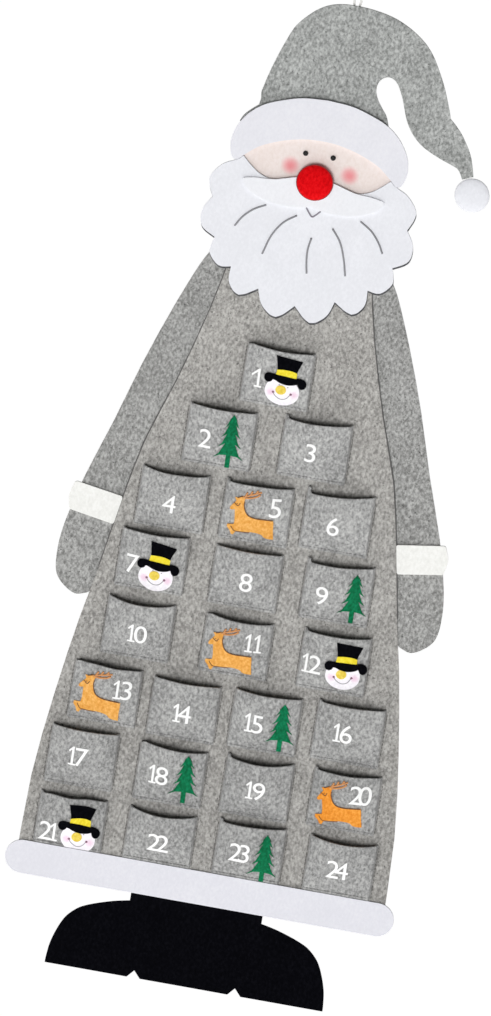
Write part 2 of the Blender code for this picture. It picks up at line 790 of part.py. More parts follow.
def make_face_details(finishes, collection):
    nose_height = face_corner - nose_drop
    domed_disc(
        "nose", nose_radius, nose_thickness, (0.0, front_of_moustache, nose_height),
        finishes["nose"], collection, nose_sides,
    )
    for name, side in (("eye_left", -1), ("eye_right", 1)):
        place = (side * eye_offset, front_of_gown, face_corner + eye_rise)
        domed_disc(name, eye_radius, eye_thickness, place, finishes["eye"], collection, eye_sides)
    pompom_place = (pompom_offset, front_of_back, face_corner - pompom_drop)
    domed_disc(
        "pompom", pompom_radius, pompom_thickness, pompom_place, finishes["white"], collection,
        pompom_sides,
    )


def hang_figure(collection):
    """Carries every piece on one empty, which lowers the figure from the nail."""
    empty = bpy.data.objects.new("nail", None)
    bpy.context.scene.collection.objects.link(empty)
    empty.location = (-loop_offset, 0, -nail_height)
    for piece in collection.objects:
        piece.parent = empty


def build():
    clear_scene()
    calendar = new_collection("advent_calendar")
    cutters = new_collection("cutters")
    finishes = {
        "grey": material("grey melange felt", (0.33, 0.32, 0.31), 0.95),
        "white": material("white felt", (0.80, 0.80, 0.84), 0.95),
        "black": material("black felt", (0.008, 0.008, 0.010), 0.95),
        "skin": material("skin-coloured felt", (0.88, 0.76, 0.70), 0.95),
        "nose": material("red felt", (0.65, 0.01, 0.01), 0.9),
        "eye": material("black bead", (0.005, 0.005, 0.005), 0.3),
        "cord": material("white cotton cord", (0.85, 0.85, 0.85), 0.8),
        "snowman": material("snowman felt", (0.85, 0.84, 0.84), 0.9),
        "tree": material("green felt", (0.01, 0.25, 0.10), 0.95),
        "reindeer": material("orange felt", (0.80, 0.35, 0.07), 0.95),
    }
    make_boots(finishes["black"], calendar)
    make_gown(finishes["grey"], calendar)
    for word, side in (("left", -1), ("right", 1)):
        make_arm(f"arm_{word}", side, finishes["grey"], calendar)
        make_cuff(f"cuff_{word}", side, finishes["white"], calendar)
    make_hem_band(finishes["white"], calendar)
    make_hat(finishes["grey"], calendar)
    make_face(finishes["skin"], calendar)
    make_hat_band(finishes["white"], calendar)
    make_beard(finishes["white"], calendar, cutters)
    make_moustache(finishes["white"], calendar)
    make_face_details(finishes, calendar)
    make_loop(finishes["cord"], calendar)
    make_pockets(finishes["grey"], calendar)
    make_motifs(finishes, calendar, cutters)
    hang_figure(calendar)
    print(f"height from soles to crown {crown_top:.4f}, nail {nail_height:.4f} above the soles")


build()
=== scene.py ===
# %% [markdown]
# # A felt advent calendar, dressed round its CAD model
#
# The object is a flat figure of Father Christmas, about a metre tall, cut and sewn from felt. Twenty-four
# pleated pockets stand off its gown, and a cord loop behind its crown hangs it on a nail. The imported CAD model
# gives every place, so each piece is made straight in the object's own coordinates: metres, front to -Y.

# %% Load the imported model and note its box
import math
import random

import bmesh
import bpy
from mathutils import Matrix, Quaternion, Vector, noise


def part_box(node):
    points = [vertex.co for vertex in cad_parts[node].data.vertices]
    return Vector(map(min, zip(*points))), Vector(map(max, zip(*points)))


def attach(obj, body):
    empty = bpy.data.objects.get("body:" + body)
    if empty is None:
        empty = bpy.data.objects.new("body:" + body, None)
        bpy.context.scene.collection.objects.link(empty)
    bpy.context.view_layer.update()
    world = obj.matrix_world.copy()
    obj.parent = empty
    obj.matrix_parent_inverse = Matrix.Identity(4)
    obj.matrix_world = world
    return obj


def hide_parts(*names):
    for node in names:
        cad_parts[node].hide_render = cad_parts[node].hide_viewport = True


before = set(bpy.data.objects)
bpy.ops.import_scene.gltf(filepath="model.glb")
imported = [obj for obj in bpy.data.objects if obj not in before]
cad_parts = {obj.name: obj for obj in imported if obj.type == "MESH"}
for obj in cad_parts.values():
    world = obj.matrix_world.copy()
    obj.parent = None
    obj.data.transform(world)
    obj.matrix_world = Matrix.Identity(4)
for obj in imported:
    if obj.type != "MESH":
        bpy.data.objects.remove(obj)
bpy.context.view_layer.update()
mm = 0.001

# %% [markdown]
# ## Camera
#
# The photograph shows almost no perspective: lines that are level on the figure stay parallel. An orthographic
# camera would do, but a very long lens from far away gives the same picture and still behaves as a camera when
# it moves round the object. It stands a little above the figure, and rolls, so the figure leans to the right.

# %% Camera
azimuth, elevation, lean = (math.radians(angle) for angle in (3.0, 15.0, 9.3))
aim = Vector((-0.0276, -0.005, -0.5436))
picture_height = 1016
pixels_per_metre = 1030.7
lens = bpy.data.cameras.new("camera")
lens.lens = 700
lens.sensor_width = 36
distance = lens.lens / lens.sensor_width * picture_height / pixels_per_metre
back = Vector((
    math.sin(azimuth) * math.cos(elevation), -math.cos(azimuth) * math.cos(elevation), math.sin(elevation)
))
camera = bpy.data.objects.new("camera", lens)
camera.location = aim + back * distance
camera.rotation_mode = "QUATERNION"
camera.rotation_quaternion = back.to_track_quat("Z", "Y") @ Quaternion((0, 0, 1), lean)
lens.clip_end = 400
bpy.context.scene.collection.objects.link(camera)
bpy.context.scene.camera = camera
print(f"camera {distance:.2f} m away")

# %% [markdown]
# ## Light
#
# Thin dark lines on both sides of the pockets, and black mouths, say that almost all the light came from the
# front, level with the eye. One soft sun does that. The sky adds a faint fill, and shows white behind.
# Standard view keeps the felt's own colours, where a film-like view would grey the whites.

# %% A helper that adds a node, and one that reads a colour
def add_node(tree, kind, inputs=(), **settings):
    """Adds a shader node. Each input gets a value, or a link if it is given another node's output."""
    node = tree.nodes.new("ShaderNode" + kind)
    for name, value in settings.items():
        setattr(node, name, value)
    for name, value in dict(inputs).items():
        socket = node.inputs[name]
        if isinstance(value, bpy.types.NodeSocket):
            tree.links.new(value, socket)
        else:
            socket.default_value = value
    return node


def linear(colour):
    """An sRGB hex colour as the linear values that a shader takes."""
    parts = [int(colour[start:start + 2], 16) / 255 for start in (0, 2, 4)]
    return (*[part / 12.92 if part <= 0.04045 else ((part + 0.055) / 1.055) ** 2.4 for part in parts], 1.0)


# %% Sky and sun
bpy.context.scene.view_settings.view_transform = "Standard"
world = bpy.data.worlds.new("studio")
bpy.context.scene.world = world
world.use_nodes = True
sky = world.node_tree
sky.nodes.clear()
fill = add_node(sky, "Background", {"Color": linear("FFFFFF"), "Strength": 0.06})
white = add_node(sky, "Background", {"Color": linear("FFFFFF"), "Strength": 1.0})
seen = add_node(sky, "LightPath").outputs["Is Camera Ray"]
mixed = add_node(sky, "MixShader", {0: seen, 1: fill.outputs[0], 2: white.outputs[0]})
add_node(sky, "OutputWorld", {"Surface": mixed.outputs[0]})


def sun(name, azimuth, elevation, strength, width):
    """A sun in this direction as seen from the object, in degrees: 0 azimuth is straight in front."""
    across, up = math.radians(azimuth), math.radians(elevation)
    towards = Vector((math.sin(across) * math.cos(up), -math.cos(across) * math.cos(up), math.sin(up)))
    light = bpy.data.lights.new(name, "SUN")
    light.energy = strength
    light.angle = math.radians(width)
    lamp = bpy.data.objects.new(name, light)
    lamp.rotation_mode = "QUATERNION"
    lamp.rotation_quaternion = towards.to_track_quat("Z", "Y")
    lamp.location = towards * 3
    bpy.context.scene.collection.objects.link(lamp)


sun("front", -3, -1.5, 1.69, 23)

# %% [markdown]
# ## Floor
#
# A plain pale floor lies under the hanging figure. It is large, so no edge shows in any view. The front sun
# shines a little upwards, so the floor casts no shadow, and it glows faintly to stay as white as the backdrop.

# %% Floor
floor_drop = 1.45
paper = bpy.data.materials.new("matt white paper")
paper.use_nodes = True
shader = paper.node_tree.nodes["Principled BSDF"]
shader.inputs["Base Color"].default_value = linear("F2F2F2")
shader.inputs["Roughness"].default_value = 0.9
shader.inputs["Emission Color"].default_value = linear("FFFFFF")
shader.inputs["Emission Strength"].default_value = 0.95
shape = bmesh.new()
bmesh.ops.create_grid(shape, x_segments=1, y_segments=1, size=150)
bmesh.ops.translate(shape, verts=shape.verts, vec=(0, 0, -floor_drop))
mesh = bpy.data.meshes.new("floor")
shape.to_mesh(mesh)
shape.free()
mesh.materials.append(paper)
floor = bpy.data.objects.new("floor", mesh)
floor.visible_shadow = False
bpy.context.scene.collection.objects.link(floor)

# %% Places on the figure
middle_line = -12 * mm
soles = -1031.77 * mm


def on_figure(across, up):
    """A place on the figure in millimetres from its middle line and its soles, as a world point."""
    return Vector((middle_line + across * mm, soles + up * mm))


# %% [markdown]
# ## Felt
#
# Felt is wool or polyester fibre matted flat: no weave, a dull face with a little fuzz, and in the grey kind
# dark and light fibres mixed, which read as fine speckles. A real fibre is 0.03 mm thick and can't show here,
# so the noise draws tufts of 1 to 3 mm, as the photograph shows them. It has two layers of tufts, a little
# stretched in different directions, one of finer ones, and one of broad clouds. A few dark flecks lie on top.

# %% The felt material
def felt(name, dark, middle, light, clouds=0.12, fuzz=0.2, gloss=0.2, flecks=0.0, painted_falloff=0.0, blush=None):
    """Matted felt in three shades. The falloff is how much darker painted shade makes it at the hem than at
    the beard, for light that falls off downward.

    With a blush colour, the attribute of that name says where it goes.
    """
    tuft = 2.4 * mm
    material = bpy.data.materials.new(name)
    material.use_nodes = True
    tree = material.node_tree
    shader = tree.nodes["Principled BSDF"]
    place = add_node(tree, "TexCoord").outputs["Object"]
    broad = add_node(tree, "TexNoise", {"Vector": place, "Scale": 1 / (30 * mm), "Detail": 2.0})
    height = add_node(tree, "Math", {0: broad.outputs["Fac"], 1: clouds}, operation="MULTIPLY").outputs[0]
    layers = ((0.9, 0.7, 1.0, 0.35), (-0.7, 0.7, 1.15, 0.35), (0.2, 1.0, 0.6, 0.30 - clouds))
    for turn, stretch, size, share in layers:
        turned = add_node(
            tree, "Mapping", {"Vector": place, "Rotation": (0.0, turn, 0.0), "Scale": (1.0, 1.0, stretch)}
        )
        tufts = add_node(
            tree, "TexNoise",
            {"Vector": turned.outputs[0], "Scale": 1 / (size * tuft), "Detail": 2.0, "Roughness": 0.55},
        )
        height = add_node(
            tree, "Math", {0: tufts.outputs["Fac"], 1: share, 2: height}, operation="MULTIPLY_ADD"
        ).outputs[0]
    shades = add_node(tree, "ValToRGB", {"Fac": height})
    ramp = shades.color_ramp.elements
    ramp[0].position, ramp[0].color = 0.40, linear(dark)
    ramp[1].position, ramp[1].color = 0.60, linear(light)
    ramp.new(0.5).color = linear(middle)
    colour, washes = shades.outputs["Color"], []
    if flecks:
        grains = add_node(tree, "TexNoise", {"Vector": place, "Scale": 1 / (2.1 * mm), "Detail": 1.0})
        limits = {"From Min": 0.66, "From Max": 0.76, "To Min": 0.0, "To Max": flecks}
        where = add_node(tree, "MapRange", {"Value": grains.outputs["Fac"], **limits})
        washes.append((where.outputs[0], "2E2D2D"))
    # Painted shade: darker towards the hem, for light that falls off downward.
    if painted_falloff:
        level = add_node(tree, "SeparateXYZ", {"Vector": place}).outputs["Z"]
        limits = {"From Min": soles + 0.09, "From Max": soles + 0.72, "To Min": painted_falloff, "To Max": 0.0}
        falloff_shade = add_node(tree, "MapRange", {"Value": level, **limits})
        washes.append((falloff_shade.outputs[0], "000000"))
    if blush:
        washes.append((add_node(tree, "Attribute", attribute_name="blush").outputs["Fac"], blush))
    for amount, tint in washes:
        colour = add_node(tree, "Mix", {0: amount, 6: colour, 7: linear(tint)}, data_type="RGBA").outputs[2]
    tree.links.new(colour, shader.inputs["Base Color"])
    nap = add_node(tree, "Bump", {"Strength": 0.5, "Distance": 0.2 * mm, "Height": height})
    tree.links.new(nap.outputs[0], shader.inputs["Normal"])
    shader.inputs["Roughness"].default_value = 0.95
    shader.inputs["Specular IOR Level"].default_value = gloss
    shader.inputs["Sheen Weight"].default_value = fuzz
    shader.inputs["Sheen Roughness"].default_value = 0.6
    return material


# %% The felts of this calendar
hat_felt = felt("cool grey melange felt", "7E807E", "9EA09E", "BDBFBD", flecks=0.6)
# The gown's and pockets' felts carry painted shade that darkens them towards the hem.
gown_felt = felt("warm grey melange felt", "82807D", "A3A19D", "C2C0BC", flecks=0.7, painted_falloff=0.1)
arm_felt = felt("light grey melange felt", "757573", "989896", "B9B9B7", flecks=0.7)
pocket_felt = felt("pocket grey melange felt", "828281", "A5A5A4", "C5C5C3", flecks=0.5, painted_falloff=0.2)
beard_felt = felt("cool white felt", "E1E2E7", "E4E5EA", "E8E9EE", clouds=0.24)
hem_felt = felt("lilac white felt", "DCDCE3", "DFDFE6", "E3E3E9", clouds=0.24)
trim_felt = felt("bright white felt", "DFDFE5", "E2E2E8", "E5E5EA", clouds=0.24)
moustache_felt = felt("soft white felt", "E6E7EB", "E9EAEE", "ECEDF1", clouds=0.24)
cuff_felt = felt("warm white felt", "E8E8E4", "EEEEEA", "F4F4F1", clouds=0.2)
skin_felt = felt("skin-coloured felt", "E5D8D2", "E9DDD8", "ECE1DD", clouds=0.24, blush="E66E78")
black_felt = felt("black felt", "040407", "06060A", "0B0B10", fuzz=0.0, gloss=0.03)
# Painted shadow: a dark felt layer that draws the shadow line under the beard's scallops.
shadow_line_felt = felt("dark grey shadow line felt", "464648", "565658", "666668", fuzz=0.0, gloss=0.05)
red_felt = felt("red felt", "C20008", "D8030C", "E41018", fuzz=0.02, gloss=0.08)
green_felt = felt("green felt", "005834", "066C44", "0E7E54", fuzz=0.05, gloss=0.1)
orange_felt = felt("orange felt", "D8923C", "E4A44E", "EFB668", fuzz=0.1)
bright_orange_felt = felt("bright orange felt", "D88020", "E69230", "F0A244", fuzz=0.1)
snow_felt = felt("snow white felt", "ECE8EE", "F3EFF5", "FAF8FB", clouds=0.2, blush="E0A8C8")
yellow_felt = felt("yellow felt", "E0C822", "EAD630", "F2E24A", fuzz=0.1)
ochre_felt = felt("ochre felt", "D6B83C", "E2C850", "ECD66C", fuzz=0.1)


# %% [markdown]
# ## Small finishes
#
# Beads, thread, printed numbers and the cord are not felt. The numbers are a matt transfer print, the lines on
# beard, face and deer are embroidery thread, and the loop is a bleached cotton cord. Thread shows its twist as
# fine oblique ribs about 0.4 mm apart.

# %% The small finishes
def finish(name, colour, roughness, ribs=0.0, depth=0.1 * mm, **sockets):
    """A plain finish whose colour varies a little, with ribs this far apart where it has any."""
    material = bpy.data.materials.new(name)
    material.use_nodes = True
    tree = material.node_tree
    shader = tree.nodes["Principled BSDF"]
    place = add_node(tree, "TexCoord").outputs["Object"]
    grain = add_node(tree, "TexNoise", {"Vector": place, "Scale": 1 / (1.2 * mm), "Detail": 2.0}).outputs[0]
    rich, pale = (tuple(0.5 * (1 - way) + way * value for value in linear(colour)) for way in (1.0, 0.94))
    shades = add_node(tree, "Mix", {0: grain, 6: rich, 7: pale}, data_type="RGBA")
    tree.links.new(shades.outputs[2], shader.inputs["Base Color"])
    relief = grain
    if ribs:
        twist = {"Vector": place, "Scale": 0.314 / ribs, "Distortion": 1.0}
        relief = add_node(tree, "TexWave", twist, bands_direction="DIAGONAL").outputs["Fac"]
    bumps = add_node(tree, "Bump", {"Strength": 0.5, "Distance": depth, "Height": relief})
    tree.links.new(bumps.outputs[0], shader.inputs["Normal"])
    shader.inputs["Roughness"].default_value = roughness
    for name, value in sockets.items():
        shader.inputs[name.replace("_", " ")].default_value = value
    return material


def thread(name, colour):
    """Twisted thread in one colour."""
    return finish(name, colour, 0.6, ribs=0.4 * mm)


print_white = finish("white transfer print", "F4F4F3", 0.7)
black_bead = finish("black glass bead", "040404", 0.4, depth=0.01 * mm, Specular_IOR_Level=0.15)
grey_thread = thread("grey embroidery thread", "88888C")
# Dark sewing thread, partly painted shade: its seams also draw the shadow lines at pocket sides and gown edges.
seam_and_shade_thread = thread("grey sewing thread", "5E5D5C")
brown_thread = thread("brown embroidery thread", "7A4A1C")
rust_thread = thread("rust embroidery thread", "C98A50")
# Painted shade: a dark red ring that draws the shaded rim of the nose.
nose_rim_shade_thread = thread("dark red sewing thread", "8C1018")
plum_thread = thread("plum embroidery thread", "84586E")
mouth_thread = thread("mauve embroidery thread", "86808A")
white_cotton = finish("bleached cotton cord", "F2F1ED", 0.85, ribs=0.5 * mm, Sheen_Weight=0.3)
print(len(bpy.data.materials), "materials")

# %% [markdown]
# ## Reading an outline from the CAD
#
# The flat pieces keep the outlines that the CAD cut, so they fit it exactly. A CAD piece is loose triangles:
# a copy is merged, everything but its front face is deleted, and what is left dissolves into one face whose
# corners are the outline. CAD curves are short straight lines, so a smooth curve is run through them. A corner
# that turns more than 35 degrees was cut as a corner and stays one.

# %% Outline helpers
def cut_outline(node):
    """The outline of a flat CAD piece as (across, up) points, and the depths of its front and back."""
    shape = bmesh.new()
    shape.from_mesh(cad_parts[node].data)
    bmesh.ops.remove_doubles(shape, verts=shape.verts, dist=0.01 * mm)
    front, rear = min(vert.co.y for vert in shape.verts), max(vert.co.y for vert in shape.verts)
    others = [face for face in shape.faces if max(vert.co.y for vert in face.verts) > front + 0.01 * mm]
    bmesh.ops.delete(shape, geom=others, context="FACES")
    bmesh.ops.dissolve_faces(shape, faces=shape.faces[:])
    whole = max(shape.faces, key=lambda face: face.calc_area())
    points = [Vector((vert.co.x, vert.co.z)) for vert in whole.verts]
    shape.free()
    return points, front, rear


longest_curved = 30 * mm


def rounded_outline(points, corner=35, step=2 * mm):
    """The same closed outline with a smooth curve through its points, about one point for each step."""
    count = len(points)
    ways = []
    for index, point in enumerate(points):
        before, after = points[index - 1], points[(index + 1) % count]
        turn = math.degrees((point - before).angle(after - point, 0))
        ways.append(None if turn > corner else (after - before).normalized())
    curve = []
    for index, start in enumerate(points):
        end = points[(index + 1) % count]
        run = end - start
        pieces = max(1, round(run.length / step))
        leave = (ways[index] or run.normalized()) * run.length
        arrive = (ways[(index + 1) % count] or run.normalized()) * run.length
        for piece in range(pieces):
            part = piece / pieces
            bend = 0.0 if run.length > longest_curved else part * (1 - part)
            bow = leave * (bend * (1 - part)) - arrive * (bend * part)
            straight = start.lerp(end, part if bend == 0.0 else part * part * (3 - 2 * part))
            curve.append(straight + bow)
    return curve


def area_of(points):
    """The area inside a closed outline, above zero where it runs anticlockwise as seen from the front."""
    return 0.5 * sum(a.x * b.y - b.x * a.y for a, b in zip(points, points[1:] + points[:1]))


# %% [markdown]
# ## Cutting a felt panel
#
# Cut felt has a soft, slightly rounded edge. One face is made from the outline, and two narrow insets pull its
# rim back into a rounding of half a millimetre. The rim is then extruded to the rear and closed. A grid of
# cuts lets the panel bend, and every piece of the figure is settled by the same gentle waves, as a hung felt
# is, so that the gaps between the layers stay.

# %% Panel helpers
def sewn_panel(points, front, rear, edge=0.6 * mm, grid=9 * mm):
    """A closed felt panel with rounded front edges, from its outline and two depths."""
    if area_of(points) < 0:
        points = points[::-1]
    shape = bmesh.new()
    face = shape.faces.new([shape.verts.new((point.x, front + edge, point.y)) for point in points])
    rim = face.edges[:]
    for inward, forward in ((0.3 * edge, 0.7 * edge), (0.7 * edge, 0.3 * edge)):
        bmesh.ops.inset_region(shape, faces=[face], thickness=inward, depth=forward, use_even_offset=True)
    wall = bmesh.ops.extrude_edge_only(shape, edges=rim)["geom"]
    foot = [item for item in wall if isinstance(item, bmesh.types.BMVert)]
    bmesh.ops.translate(shape, verts=foot, vec=(0, rear - front - edge, 0))
    bmesh.ops.holes_fill(shape, edges=[side for side in shape.edges if side.is_boundary], sides=0)
    bmesh.ops.recalc_face_normals(shape, faces=shape.faces)
    cut_grid(shape, grid)
    return shape


def move(shape, by):
    """Moves a whole shape."""
    bmesh.ops.translate(shape, verts=shape.verts, vec=by)


def cut_grid(shape, spacing):
    """Cuts a shape along upright and level planes this far apart, so that it can bend."""
    for axis, normal in ((0, (1, 0, 0)), (2, (0, 0, 1))):
        low = min(vert.co[axis] for vert in shape.verts)
        high = max(vert.co[axis] for vert in shape.verts)
        for cut in range(1, math.ceil((high - low) / spacing)):
            place = Vector((0, 0, 0))
            place[axis] = low + cut * spacing
            everything = shape.verts[:] + shape.edges[:] + shape.faces[:]
            bmesh.ops.bisect_plane(shape, geom=everything, dist=0.001 * mm, plane_co=place, plane_no=normal)


def settle(shape):
    """The slow waves of hung felt, the same for every piece at the same place on the figure."""
    slow, quick = 6, 19
    for vert in shape.verts:
        spot = Vector((vert.co.x, 0, vert.co.z))
        vert.co.y -= 1.0 * mm * (1 + noise.noise(spot * slow)) + 0.25 * mm * noise.noise(spot * quick)


def keep(name, shape, material, slot, *nodes, body="figure", sharp=22):
    """Turns a finished shape into a piece of the object, which may stand for CAD nodes."""
    if body == "figure":
        settle(shape)
    mesh = bpy.data.meshes.new(name)
    shape.to_mesh(mesh)
    shape.free()
    mesh.shade_smooth()
    if sharp:
        mesh.set_sharp_from_angle(angle=math.radians(sharp))
    mesh.materials.append(material)
    piece = bpy.data.objects.new(name, mesh)
    bpy.context.scene.collection.objects.link(piece)
    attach(piece, body)
    if nodes:
        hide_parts(*nodes)
    return piece


# %% [markdown]
# ## The large felts
#
# Gown, arms, boots, hat, face and the white trims are each one flat die-cut felt, sewn or glued to the felt
# behind it. They only need their outline, thickness, place and colour. Some outlines are eased by a few
# millimetres: the hat's backing keeps out of sight behind band and beard, the beard's opening is a little
# fuller below the face's ends, and the cuffs' corners are cut round. The beard has a white front and a white
# back, and between them a thin dark felt that is cut a hair lower. That dark felt is painted shadow: it draws
# the shadow line under the scallops, even where only the wall is behind them.

# %% Easing the outlines
lobe_low, face_high, band_low, band_high = 800, 850, 865, 898


def tucked_hat(points):
    """The hat's outline, drawn in where band and beard cover it."""
    tucked = []
    for point in points:
        across, up = (point - on_figure(0, 0)) / mm
        shift = (0.0, 0.0)
        if lobe_low < up < band_high and across < -66:
            shift = (1.6, -1.2) if up > band_low else (6.5, 0.0)
        if lobe_low < up < band_high and across > 56 and across + up < 960:
            share = min(1.0, (band_high - up) / 17)
            shift = (-6.5 * share, -4.5 * share if up > face_high else 0.0)
        tucked.append(point + Vector(shift) * mm)
    return tucked


def fuller_opening(points):
    """The beard's outline, with its opening fuller below the ends of the face."""
    opened = []
    for point in points:
        across, up = (point - on_figure(0, 0)) / mm
        part = (abs(across) - 36) / (72 - 36)
        fuller = 3.0 * math.sin(math.pi * part) if 0 < part < 1 and up > 809 else 0.0
        opened.append(point - Vector((0, fuller * mm)))
    return opened


def round_corners(points, radius=2.5 * mm, sharpest=35):
    """An outline whose sharp corners are cut round."""
    rounded = []
    for index, point in enumerate(points):
        before, after = points[index - 1] - point, points[(index + 1) % len(points)] - point
        if math.degrees(before.angle(-after)) < sharpest:
            rounded.append(point)
            continue
        start, end = point + before.normalized() * radius, point + after.normalized() * radius
        for part in (0.0, 0.25, 0.5, 0.75, 1.0):
            rounded.append(start.lerp(point, part).lerp(point.lerp(end, part), part))
    return rounded


# %% Make the large felts
large_felts = (
    ("gown_panel", gown_felt, "grey_felt", "hung", "hat"),
    ("arm_left", arm_felt, "grey_felt", "hung", "gown_panel"),
    ("arm_right", arm_felt, "grey_felt", "hung", "gown_panel"),
    ("cuff_left", cuff_felt, "white_felt", "laid", "arm_left"),
    ("cuff_right", cuff_felt, "white_felt", "laid", "arm_right"),
    ("boots", black_felt, "black_felt", "hung", "gown_panel"),
    ("hem_band", hem_felt, "white_felt", "laid", "gown_panel"),
    ("hat", hat_felt, "grey_felt", "hung", "hanging_loop"),
    ("hat_band", trim_felt, "white_felt", "laid", "hat"),
    ("beard", beard_felt, "white_felt", "laid", "gown_panel"),
    ("moustache", moustache_felt, "white_felt", "laid", "beard"),
)
eased = {"hat": tucked_hat, "beard": fuller_opening, "cuff_left": round_corners, "cuff_right": round_corners}
beard_front = cut_outline("beard")[1]
backing_thick, between = 0.6 * mm, 0.05 * mm
usual_edge, soft_edge = 0.6 * mm, 0.45 * mm
for node, material, slot, held, rests_on in large_felts:
    points, front, rear = cut_outline(node)
    points = rounded_outline(eased[node](points) if node in eased else points)
    if node == "beard":
        # The dark middle layer, cut 2 mm lower, is painted shadow: it shows as the shadow line under the
        # scallops.
        lower = [point + Vector((0.5, -2.0)) * mm for point in points]
        layers = (
            ("beard_back", points, beard_felt, "white_felt"),
            ("beard_shadow_line", lower, shadow_line_felt, "grey_felt"),
        )
        for name, outline, layer_felt, layer_slot in layers:
            shape = sewn_panel(outline, rear - backing_thick, rear, edge=0.15 * mm)
            layer = keep(name, shape, layer_felt, layer_slot)
            rear -= backing_thick + between
    if node == "moustache":
        rear = beard_front - between
    edge = soft_edge if node in ("beard", "hat_band", "moustache") else usual_edge
    panel = keep(f"{node}_felt", sewn_panel(points, front, rear, edge), material, slot, node)
    print(f"{node}: {len(points)} outline points, {abs(area_of(points)) * 1e4:.0f} cm2")

# %% [markdown]
# ## The face
#
# The face is a felt like the others, with a soft blush printed on each cheek. The blush follows the felt, so
# it is stored on the mesh's own points as an attribute, which the material mixes in. That needs a fine grid.

# %% Face and blush
def paint_blush(piece, spots, radius, strength):
    """Stores how much blush each point of a piece has: full inside a spot, and none past its radius."""
    layer = piece.data.attributes.new("blush", "FLOAT", "POINT")
    for index, vert in enumerate(piece.data.vertices):
        away = min((Vector((vert.co.x, vert.co.z)) - spot).length for spot in spots) / radius
        layer.data[index].value = strength * max(0.0, 1.0 - away * away) ** 1.2


points, front, rear = cut_outline("face")
points = rounded_outline(points)
face = keep("face_felt", sewn_panel(points, front, rear, grid=2.5 * mm), skin_felt, "skin_felt", "face")
paint_blush(face, [on_figure(-26.0, 833.5), on_figure(31.6, 833.5)], 10 * mm, 0.8)

# %% [markdown]
# ## Thread lines
#
# The beard's locks and the mouth are thin sewn lines. A curve with a round bevel makes the thread. It is
# turned into a mesh at once, and lies half sunk in the felt.

# %% Thread lines
def smooth_line(points, steps=6):
    """An open curve through (across, up) points."""
    line = [points[0] * 2 - points[1], *points, points[-1] * 2 - points[-2]]
    curve = []
    for before, start, end, after in zip(line, line[1:], line[2:], line[3:]):
        for step in range(steps):
            part = step / steps
            curve.append(0.5 * (
                2 * start + (end - before) * part + (2 * before - 5 * start + 4 * end - after) * part ** 2
                + (3 * start - before - 3 * end + after) * part ** 3
            ))
    return curve + [points[-1]]


def shape_of_curve(curve):
    """A curve or text as a shape, whose doubles are merged. The curve itself is deleted."""
    holder = bpy.data.objects.new(curve.name, curve)
    bpy.context.scene.collection.objects.link(holder)
    bpy.context.view_layer.update()
    mesh = bpy.data.meshes.new_from_object(holder.evaluated_get(bpy.context.evaluated_depsgraph_get()))
    shape = bmesh.new()
    shape.from_mesh(mesh)
    bmesh.ops.remove_doubles(shape, verts=shape.verts, dist=0.001 * mm)
    bpy.data.objects.remove(holder)
    bpy.data.curves.remove(curve)
    bpy.data.meshes.remove(mesh)
    return shape


def tube(lines, radius):
    """Round tubes along lines of 3-D points, as one shape with closed ends."""
    curve = bpy.data.curves.new("line", "CURVE")
    curve.dimensions = "3D"
    curve.bevel_depth = radius
    curve.bevel_resolution = 2
    curve.use_fill_caps = True
    for line in lines:
        spline = curve.splines.new("POLY")
        spline.points.add(len(line) - 1)
        for point, place in zip(spline.points, line):
            point.co = (*place, 1)
    shape = shape_of_curve(curve)
    bmesh.ops.recalc_face_normals(shape, faces=shape.faces)
    return shape


def flat_lines(lines, depth, radius):
    """Thread along lines of (across, up) points, at one depth."""
    return tube([[(point.x, depth, point.y) for point in smooth_line(line)] for line in lines], radius)


locks = (
    ((-43.0, 791.5), (-55.0, 784.5), (-64.0, 775.5), (-70.0, 765.5)),
    ((-12.0, 786.4), (-24.0, 777.0), (-33.5, 762.0), (-39.3, 742.7)),
    ((5.4, 766.9), (3.6, 755.0), (4.2, 743.0), (6.2, 731.1)),
    ((24.0, 779.6), (33.5, 767.0), (39.6, 751.0), (43.4, 735.1)),
    ((49.5, 791.5), (61.5, 783.5), (70.0, 773.5), (75.5, 763.5)),
)
mouth_line = ((-4.2, 795.6), (-0.6, 790.6), (2.6, 787.6), (6.0, 790.0), (10.0, 794.4))
face_threads = (
    ("beard_lines", locks, 0.9 * mm, grey_thread),
    ("mouth_line", (mouth_line,), 0.75 * mm, mouth_thread),
)
for name, lines, radius, material in face_threads:
    lines = [[on_figure(*point) for point in line] for line in lines]
    keep(name, flat_lines(lines, beard_front, radius), material, "white_felt", sharp=0)
    print(f"{name}: {len(lines)} sewn")

# %% [markdown]
# ## The gown's edges
#
# The gown is sewn over the arms along its edges, from the beard down to the mittens. The thread follows the
# gown's own outline, just outside it, and wanders a little, as it does on the real one. Its dark colour is
# partly painted shade: it also draws the shadow line along the gown's edges, on both sides.

# %% Edge seams
gown_points, gown_face, gown_back = cut_outline("gown_panel")
mitten_up, beard_up = soles + 405 * mm, soles + 745 * mm
thread_half = 0.5 * mm
edge_lines = []
for side in (-1, 1):
    line = [
        point for point in gown_points
        if (point.x - middle_line) * side > 0 and mitten_up <= point.y <= beard_up
    ]
    line.sort(key=lambda point: point.y)
    seam = []
    for point in smooth_line([point + Vector((side * thread_half, 0)) for point in line], 12):
        wander = 0.5 * mm * noise.noise(Vector((0, side, point.y / (14 * mm))))
        seam.append((point.x + wander, gown_back - 0.2 * mm, point.y))
    edge_lines.append(seam)
keep("gown_edge_seams", tube(edge_lines, thread_half), seam_and_shade_thread, "grey_felt", sharp=0)
print("edge seams from", round(mitten_up, 3), "to", round(beard_up, 3), "m")

